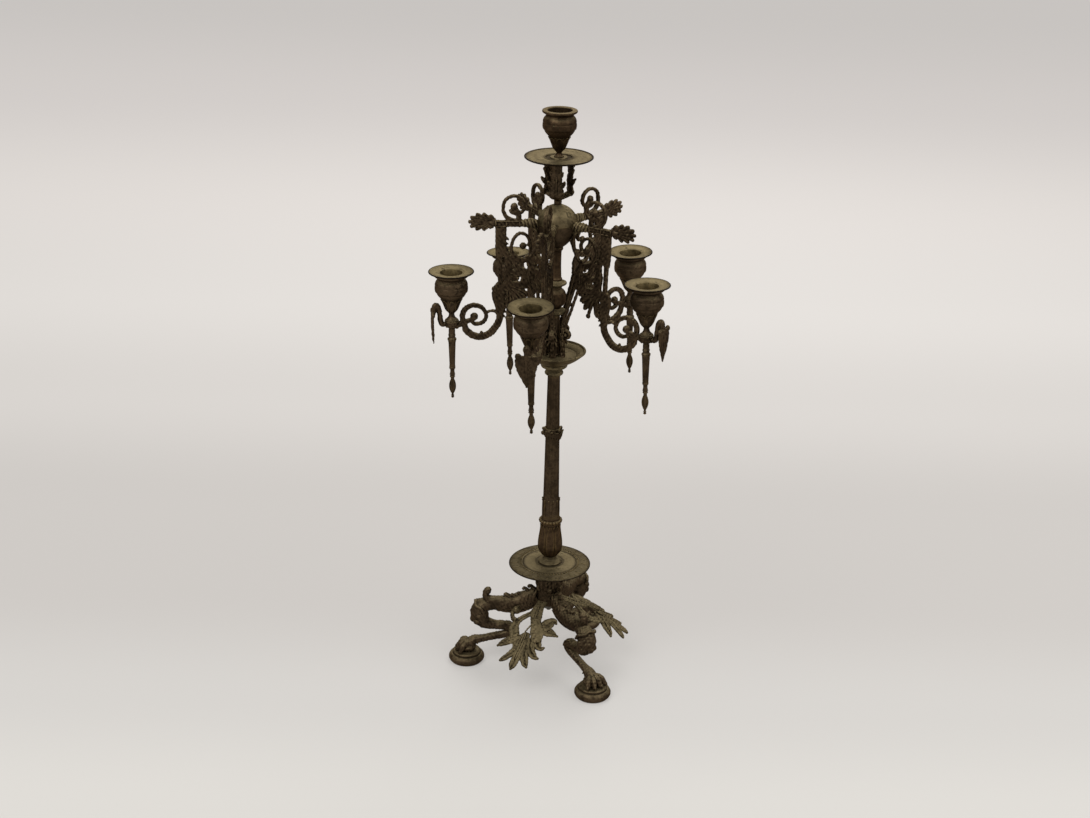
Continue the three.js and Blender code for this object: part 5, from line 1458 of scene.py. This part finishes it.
class CandelabrumView(bpy.types.PropertyGroup):
    """Camera and light."""

    camera_place: FloatVectorProperty(
        name="Camera", description="Place of the camera from the axis at floor level",
        default=(-0.00855, -1.75803, 1.02863), subtype="TRANSLATION", unit="LENGTH",
    )
    pitch: FloatProperty(
        name="Pitch", description="How far the camera looks down", default=math.radians(22.49),
        subtype="ANGLE",
    )
    roll: FloatProperty(
        name="Roll", description="How far the camera leans", default=math.radians(1.22), subtype="ANGLE",
    )
    lens: FloatProperty(
        name="Lens", description="Focal length", default=59.73, min=1, subtype="DISTANCE_CAMERA",
    )
    lamp_power: FloatProperty(
        name="Lamp power", description="Power of the large soft lamp", default=9.0, min=0, unit="POWER",
    )
    sky: FloatProperty(
        name="Room light", description="Strength of the light from all round", default=0.62, min=0,
    )


# Operators


class CandelabrumOperator:
    """What the operators share: how they run and what they report."""

    bl_options = {"REGISTER", "UNDO"}

    def execute(self, context):
        self.build(context)
        return {"FINISHED"}


class MakeFinishes(CandelabrumOperator, bpy.types.Operator):
    """Makes the finishes of the metal and gives plain fasteners theirs"""

    bl_idname = "candelabrum.finishes"
    bl_label = "Finishes"

    def build(self, context):
        colours = context.scene.candelabrum_colours
        for name, (body, dust, rubbed) in SLOTS.items():
            FINISHES[name] = bronze_finish(name, body, dust, rubbed, colours)
        for name in ("tie_rod", "tie_washer", "tie_nut"):
            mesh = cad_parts[name].data
            mesh.materials.clear()
            mesh.materials.append(FINISHES["plain_steel"])


class MakeFootPads(CandelabrumOperator, bpy.types.Operator):
    """Makes the three two-tier pads under the paws"""

    bl_idname = "candelabrum.foot_pads"
    bl_label = "Foot pads"

    def build(self, context):
        place_round("pad", foot_pad().moved(PAD_REACH), LEG_TURNS, "foot_pad", "dark_bronze")


class MakeLegs(CandelabrumOperator, bpy.types.Operator):
    """Makes the three animal legs with their leaf sheaths and clawed paws"""

    bl_idname = "candelabrum.legs"
    bl_label = "Legs"

    def build(self, context):
        form = leg()
        place_round("paw_leg", form, LEG_TURNS, "leg", "dark_bronze", crease=0, tint=cavity_shade_and_high_points(form))


class MakeBaseLeaves(CandelabrumOperator, bpy.types.Operator):
    """Makes the three leaves that hang between the legs"""

    bl_idname = "candelabrum.base_leaves"
    bl_label = "Base leaves"

    def build(self, context):
        form = base_leaf()
        tint = cavity_shade_and_high_points(form)
        place_round("hanging_leaf", form, LEAF_TURNS, "base_leaf", "dusty_bronze", crease=0, tint=tint)


class MakeBase(CandelabrumOperator, bpy.types.Operator):
    """Makes the hub, the disc with its leaf band and the foot collar"""

    bl_idname = "candelabrum.base"
    bl_label = "Base"

    def build(self, context):
        hub = base_hub()
        place_piece("hub", hub, "base_hub", "dark_bronze", crease=0, tint=cavity_shade_and_high_points(hub))
        disc = base_disc()
        tint = rings_of(
            disc, (0, 28.2, -0.1), (32.6, 46, -0.45), (43.4, 46, -0.9), (14, 16.4, -0.6), (28.3, 30.2, -0.6),
        )
        place_piece("disc", disc, "base_disc", "dusty_bronze", tint=tint)
        place_turned("foot_collar", (0, 30, -0.3))


class MakeStem(CandelabrumOperator, bpy.types.Operator):
    """Makes the leafy calyx, the fluted stem with its clasp and the cap"""

    bl_idname = "candelabrum.stem"
    bl_label = "Stem"

    def build(self, context):
        place_piece("leafy_calyx", calyx(), "calyx", "warm_bronze")
        place_piece("fluted_stem", stem(), "stem", "dark_bronze")
        clasp = stem_clasp()
        place_piece("leaf_clasp", clasp, "stem_clasp", "dark_bronze", tint=cavity_shade_and_high_points(clasp))
        place_turned("stem_cap")


class MakeShaft(CandelabrumOperator, bpy.types.Operator):
    """Makes the dish under the arms and the turned shaft in it"""

    bl_idname = "candelabrum.shaft"
    bl_label = "Dish and shaft"

    def build(self, context):
        place_piece("dish", arm_dish(), "arm_dish", "dusty_bronze")
        for node in ("shaft_socle", "shaft_ring", "pear_knop", "collar_disc", "shaft_sleeve"):
            place_turned(node)


class MakeBulb(CandelabrumOperator, bpy.types.Operator):
    """Makes the two halves of the bulb that holds the arms"""

    bl_idname = "candelabrum.bulb"
    bl_label = "Bulb"

    def build(self, context):
        place_turned("bulb_cup")
        dome = bulb_dome()
        # Paler top of the dome: painted top light
        place_piece("dome", dome, "bulb_dome", "dusty_bronze", tint=rings_of(dome, (0, 17, 0.3)))


class MakeArms(CandelabrumOperator, bpy.types.Operator):
    """Makes the five scroll arms from one casting, each bent a little as it hangs"""

    bl_idname = "candelabrum.arms"
    bl_label = "Arms"

    def build(self, context):
        skin = arm_skin()
        # Painted shade in the hollows, paler high points and the painted highlight on the husk
        tint = np.clip(cavity_shade_and_high_points(skin) + husk_highlight(skin), -1, 1)
        for name, turn in ARM_TURNS.items():
            form = bend_arm(skin, name).spoke(turn).moved(z=SEAM)
            place_piece(f"scroll_arm.{name}", form, f"arm_{name}", "dark_bronze", crease=0, tint=tint)


class MakeArmLeaves(CandelabrumOperator, bpy.types.Operator):
    """Makes the leaf that hangs outside each bowl"""

    bl_idname = "candelabrum.arm_leaves"
    bl_label = "Arm leaves"

    def build(self, context):
        place_on_bowls("shield_leaf", hang_leaf(), "arm_leaf", "dark_bronze", crease=0)


class MakeNozzles(CandelabrumOperator, bpy.types.Operator):
    """Makes the five vase nozzles"""

    bl_idname = "candelabrum.nozzles"
    bl_label = "Nozzles"

    def build(self, context):
        place_on_bowls("vase", arm_nozzle().moved(z=RIM), "nozzle", "dark_bronze")


class MakeDripPans(CandelabrumOperator, bpy.types.Operator):
    """Makes the drip pan that lifts out of each nozzle"""

    bl_idname = "candelabrum.drip_pans"
    bl_label = "Drip pans"

    def build(self, context):
        form = drip_pan()
        # Paler upper face: painted top light. Dark outer rim: painted shade at and under the rim. The ring by
        # the hole and the hole are a little darker.
        tint = rings_of(form, (14, 22.2, 0.35), (13, 13.9, -0.3), (22.3, 25, -1), (0, 12.1, -0.2))
        place_on_bowls("pan", form.moved(z=RIM), "drip_pan", "pale_brass", body="pan", tint=tint)


class MakePendants(CandelabrumOperator, bpy.types.Operator):
    """Makes the fluted drop under each bowl"""

    bl_idname = "candelabrum.pendants"
    bl_label = "Pendants"

    def build(self, context):
        place_on_bowls("drop", pendant().moved(z=-SEAT_GAP), "pendant", "dark_bronze")


class MakeTop(CandelabrumOperator, bpy.types.Operator):
    """Makes the handled shaft, the dish and the nozzle at the top"""

    bl_idname = "candelabrum.top"
    bl_label = "Top"

    def build(self, context):
        shaft = top_shaft()
        place_piece("handled_shaft", shaft, "top_shaft", "dark_bronze", crease=0, tint=cavity_shade_and_high_points(shaft))
        dish = top_dish()
        # Paler upper face: painted top light. The rim and two rings are darker.
        tint = rings_of(dish, (15, 32.6, 0.35), (33.2, 35, -0.85), (23.3, 24.6, -0.5), (13.3, 14.7, -0.5))
        place_piece("upper_dish", dish, "top_dish", "dusty_bronze", tint=tint)
        place_piece("upper_vase", top_nozzle().moved(z=span("top_nozzle")[1]), "top_nozzle", "warm_bronze")


class MakeStage(CandelabrumOperator, bpy.types.Operator):
    """Makes the floor, the light and the camera"""

    bl_idname = "candelabrum.stage"
    bl_label = "Stage"

    def build(self, context):
        view = context.scene.candelabrum_view
        axis = Vector(AXIS * MM)
        floor = plain_object(
            "floor", Form([(-9, -6, 0), (9, -6, 0), (9, 14, 0), (-9, 14, 0)], [(0, 1, 2, 3)]),
        )
        floor.data.materials.append(floor_finish())
        light_room(context, view, axis)
        cosine, sine = math.cos(view.pitch), math.sin(view.pitch)
        level, up = Vector((1, 0, 0)), Vector((0, sine, cosine))
        right = math.cos(view.roll) * level + math.sin(view.roll) * up
        top = math.cos(view.roll) * up - math.sin(view.roll) * level
        back = -Vector((0, cosine, -sine))
        matrix = Matrix((right, top, back)).transposed().to_4x4()
        matrix.translation = Vector(view.camera_place) + axis
        camera = bpy.data.objects.new("camera", bpy.data.cameras.new("camera"))
        camera.data.lens = view.lens
        camera.data.sensor_width = 36
        camera.data.clip_start = 0.01
        camera.matrix_world = matrix
        context.scene.collection.objects.link(camera)
        context.scene.camera = camera


# Distance behind the axis in metres, and the tone on screen, with painted shade just behind the axis and far
# back
FLOOR_TONES = (
    (-0.27, (214, 211, 206)), (-0.09, (207, 204, 200)), (0.14, (200, 196, 192)), (0.41, (201, 197, 193)),
    (0.76, (212, 208, 204)), (1.22, (222, 218, 214)), (1.85, (226, 221, 217)), (2.77, (220, 215, 212)),
    (4.07, (214, 210, 207)),
)


def floor_finish():
    """Pale floor whose tone changes with distance, with painted shade behind the axis; plain to the lamps and
    shown as it is to the camera.
    """
    material = bpy.data.materials.new("pale_floor")
    make = fresh_maker(material)
    _, away, _ = make.parts(make.value("ShaderNodeTexCoord", output=3))
    share = make.value("ShaderNodeMapRange", {"Value": away, "From Min": -0.5, "From Max": 4.5})
    tones = make.node("ShaderNodeValToRGB", {"Fac": share})
    ramp = tones.color_ramp
    ramp.interpolation = "EASE"
    while len(ramp.elements) < len(FLOOR_TONES):
        ramp.elements.new(0.5)
    for element, (distance, tone) in zip(ramp.elements, FLOOR_TONES):
        element.position = (distance + 0.5) / 5
        element.color = (*linear(*tone), 1)
    tone = Value(make, tones.outputs[0])
    plain = make.value("ShaderNodeBsdfDiffuse", {"Color": tone})
    shown = make.value("ShaderNodeEmission", {"Color": tone, "Strength": 1.0})
    rays = make.node("ShaderNodeLightPath")
    seen = make.sum(
        "MAXIMUM", Value(make, rays.outputs["Is Camera Ray"]),
        make.sum(
            "MAXIMUM", Value(make, rays.outputs["Is Glossy Ray"]),
            Value(make, rays.outputs["Is Transmission Ray"]),
        ),
    )
    mixed = make.value("ShaderNodeMixShader", {0: seen * 0.6, 1: plain, 2: shown})
    make.node("ShaderNodeOutputMaterial", {"Surface": mixed})
    return material


def light_room(context, view, axis):
    """Even light from all round and one large soft lamp above."""
    world = bpy.data.worlds.new("room")
    make = fresh_maker(world)
    rays = make.node("ShaderNodeLightPath")
    light = make.value("ShaderNodeBackground", {"Color": (1.0, 0.985, 0.96, 1.0), "Strength": view.sky})
    shown = make.value("ShaderNodeBackground", {"Color": (*linear(216, 212, 208), 1.0), "Strength": 1.0})
    mixed = make.value(
        "ShaderNodeMixShader", {0: Value(make, rays.outputs["Is Camera Ray"]), 1: light, 2: shown},
    )
    make.node("ShaderNodeOutputWorld", {"Surface": mixed})
    context.scene.world = world
    for name, place, size, share in (
        ("key", (-1.1, -1.2, 2.1), 1.6, 1.0), ("fill", (1.5, -0.6, 1.6), 1.6, 0.6),
        ("rim", (0.3, 1.5, 1.9), 1.4, 0.7),
    ):
        lamp = bpy.data.lights.new(name, "AREA")
        lamp.energy = view.lamp_power * share * 3
        lamp.size = size
        made = bpy.data.objects.new(name, lamp)
        made.location = axis + Vector(place)
        aim = Vector((0, 0, 0.3)) + axis - made.location
        made.rotation_euler = aim.to_track_quat("-Z", "Y").to_euler()
        context.scene.collection.objects.link(made)


class CandelabrumPanel(bpy.types.Panel):
    """Lists the pieces and their settings"""

    bl_idname = "VIEW3D_PT_candelabrum"
    bl_label = "Candelabrum"
    bl_space_type = "VIEW_3D"
    bl_region_type = "UI"
    bl_category = "Candelabrum"

    def draw(self, context):
        for settings in (context.scene.candelabrum_colours, context.scene.candelabrum_view):
            for name in settings.__annotations__:
                self.layout.prop(settings, name)
        for operator in OPERATORS:
            self.layout.operator(operator.bl_idname)


SETTINGS = (CandelabrumColours, CandelabrumView)
OPERATORS = (
    MakeFinishes, MakeFootPads, MakeLegs, MakeBaseLeaves, MakeBase, MakeStem, MakeShaft, MakeBulb, MakeArms,
    MakeArmLeaves, MakeNozzles, MakeDripPans, MakePendants, MakeTop, MakeStage,
)


def register():
    for item in (*SETTINGS, *OPERATORS, CandelabrumPanel):
        bpy.utils.register_class(item)
    bpy.types.Scene.candelabrum_colours = PointerProperty(type=CandelabrumColours)
    bpy.types.Scene.candelabrum_view = PointerProperty(type=CandelabrumView)


def unregister():
    del bpy.types.Scene.candelabrum_view
    del bpy.types.Scene.candelabrum_colours
    for item in (CandelabrumPanel, *reversed(OPERATORS), *reversed(SETTINGS)):
        bpy.utils.unregister_class(item)


def main():
    register()
    bpy.context.scene.view_settings.view_transform = "Standard"
    for operator in OPERATORS:
        group, name = operator.bl_idname.split(".")
        getattr(getattr(bpy.ops, group), name)()


if __name__ == "__main__":
    main()
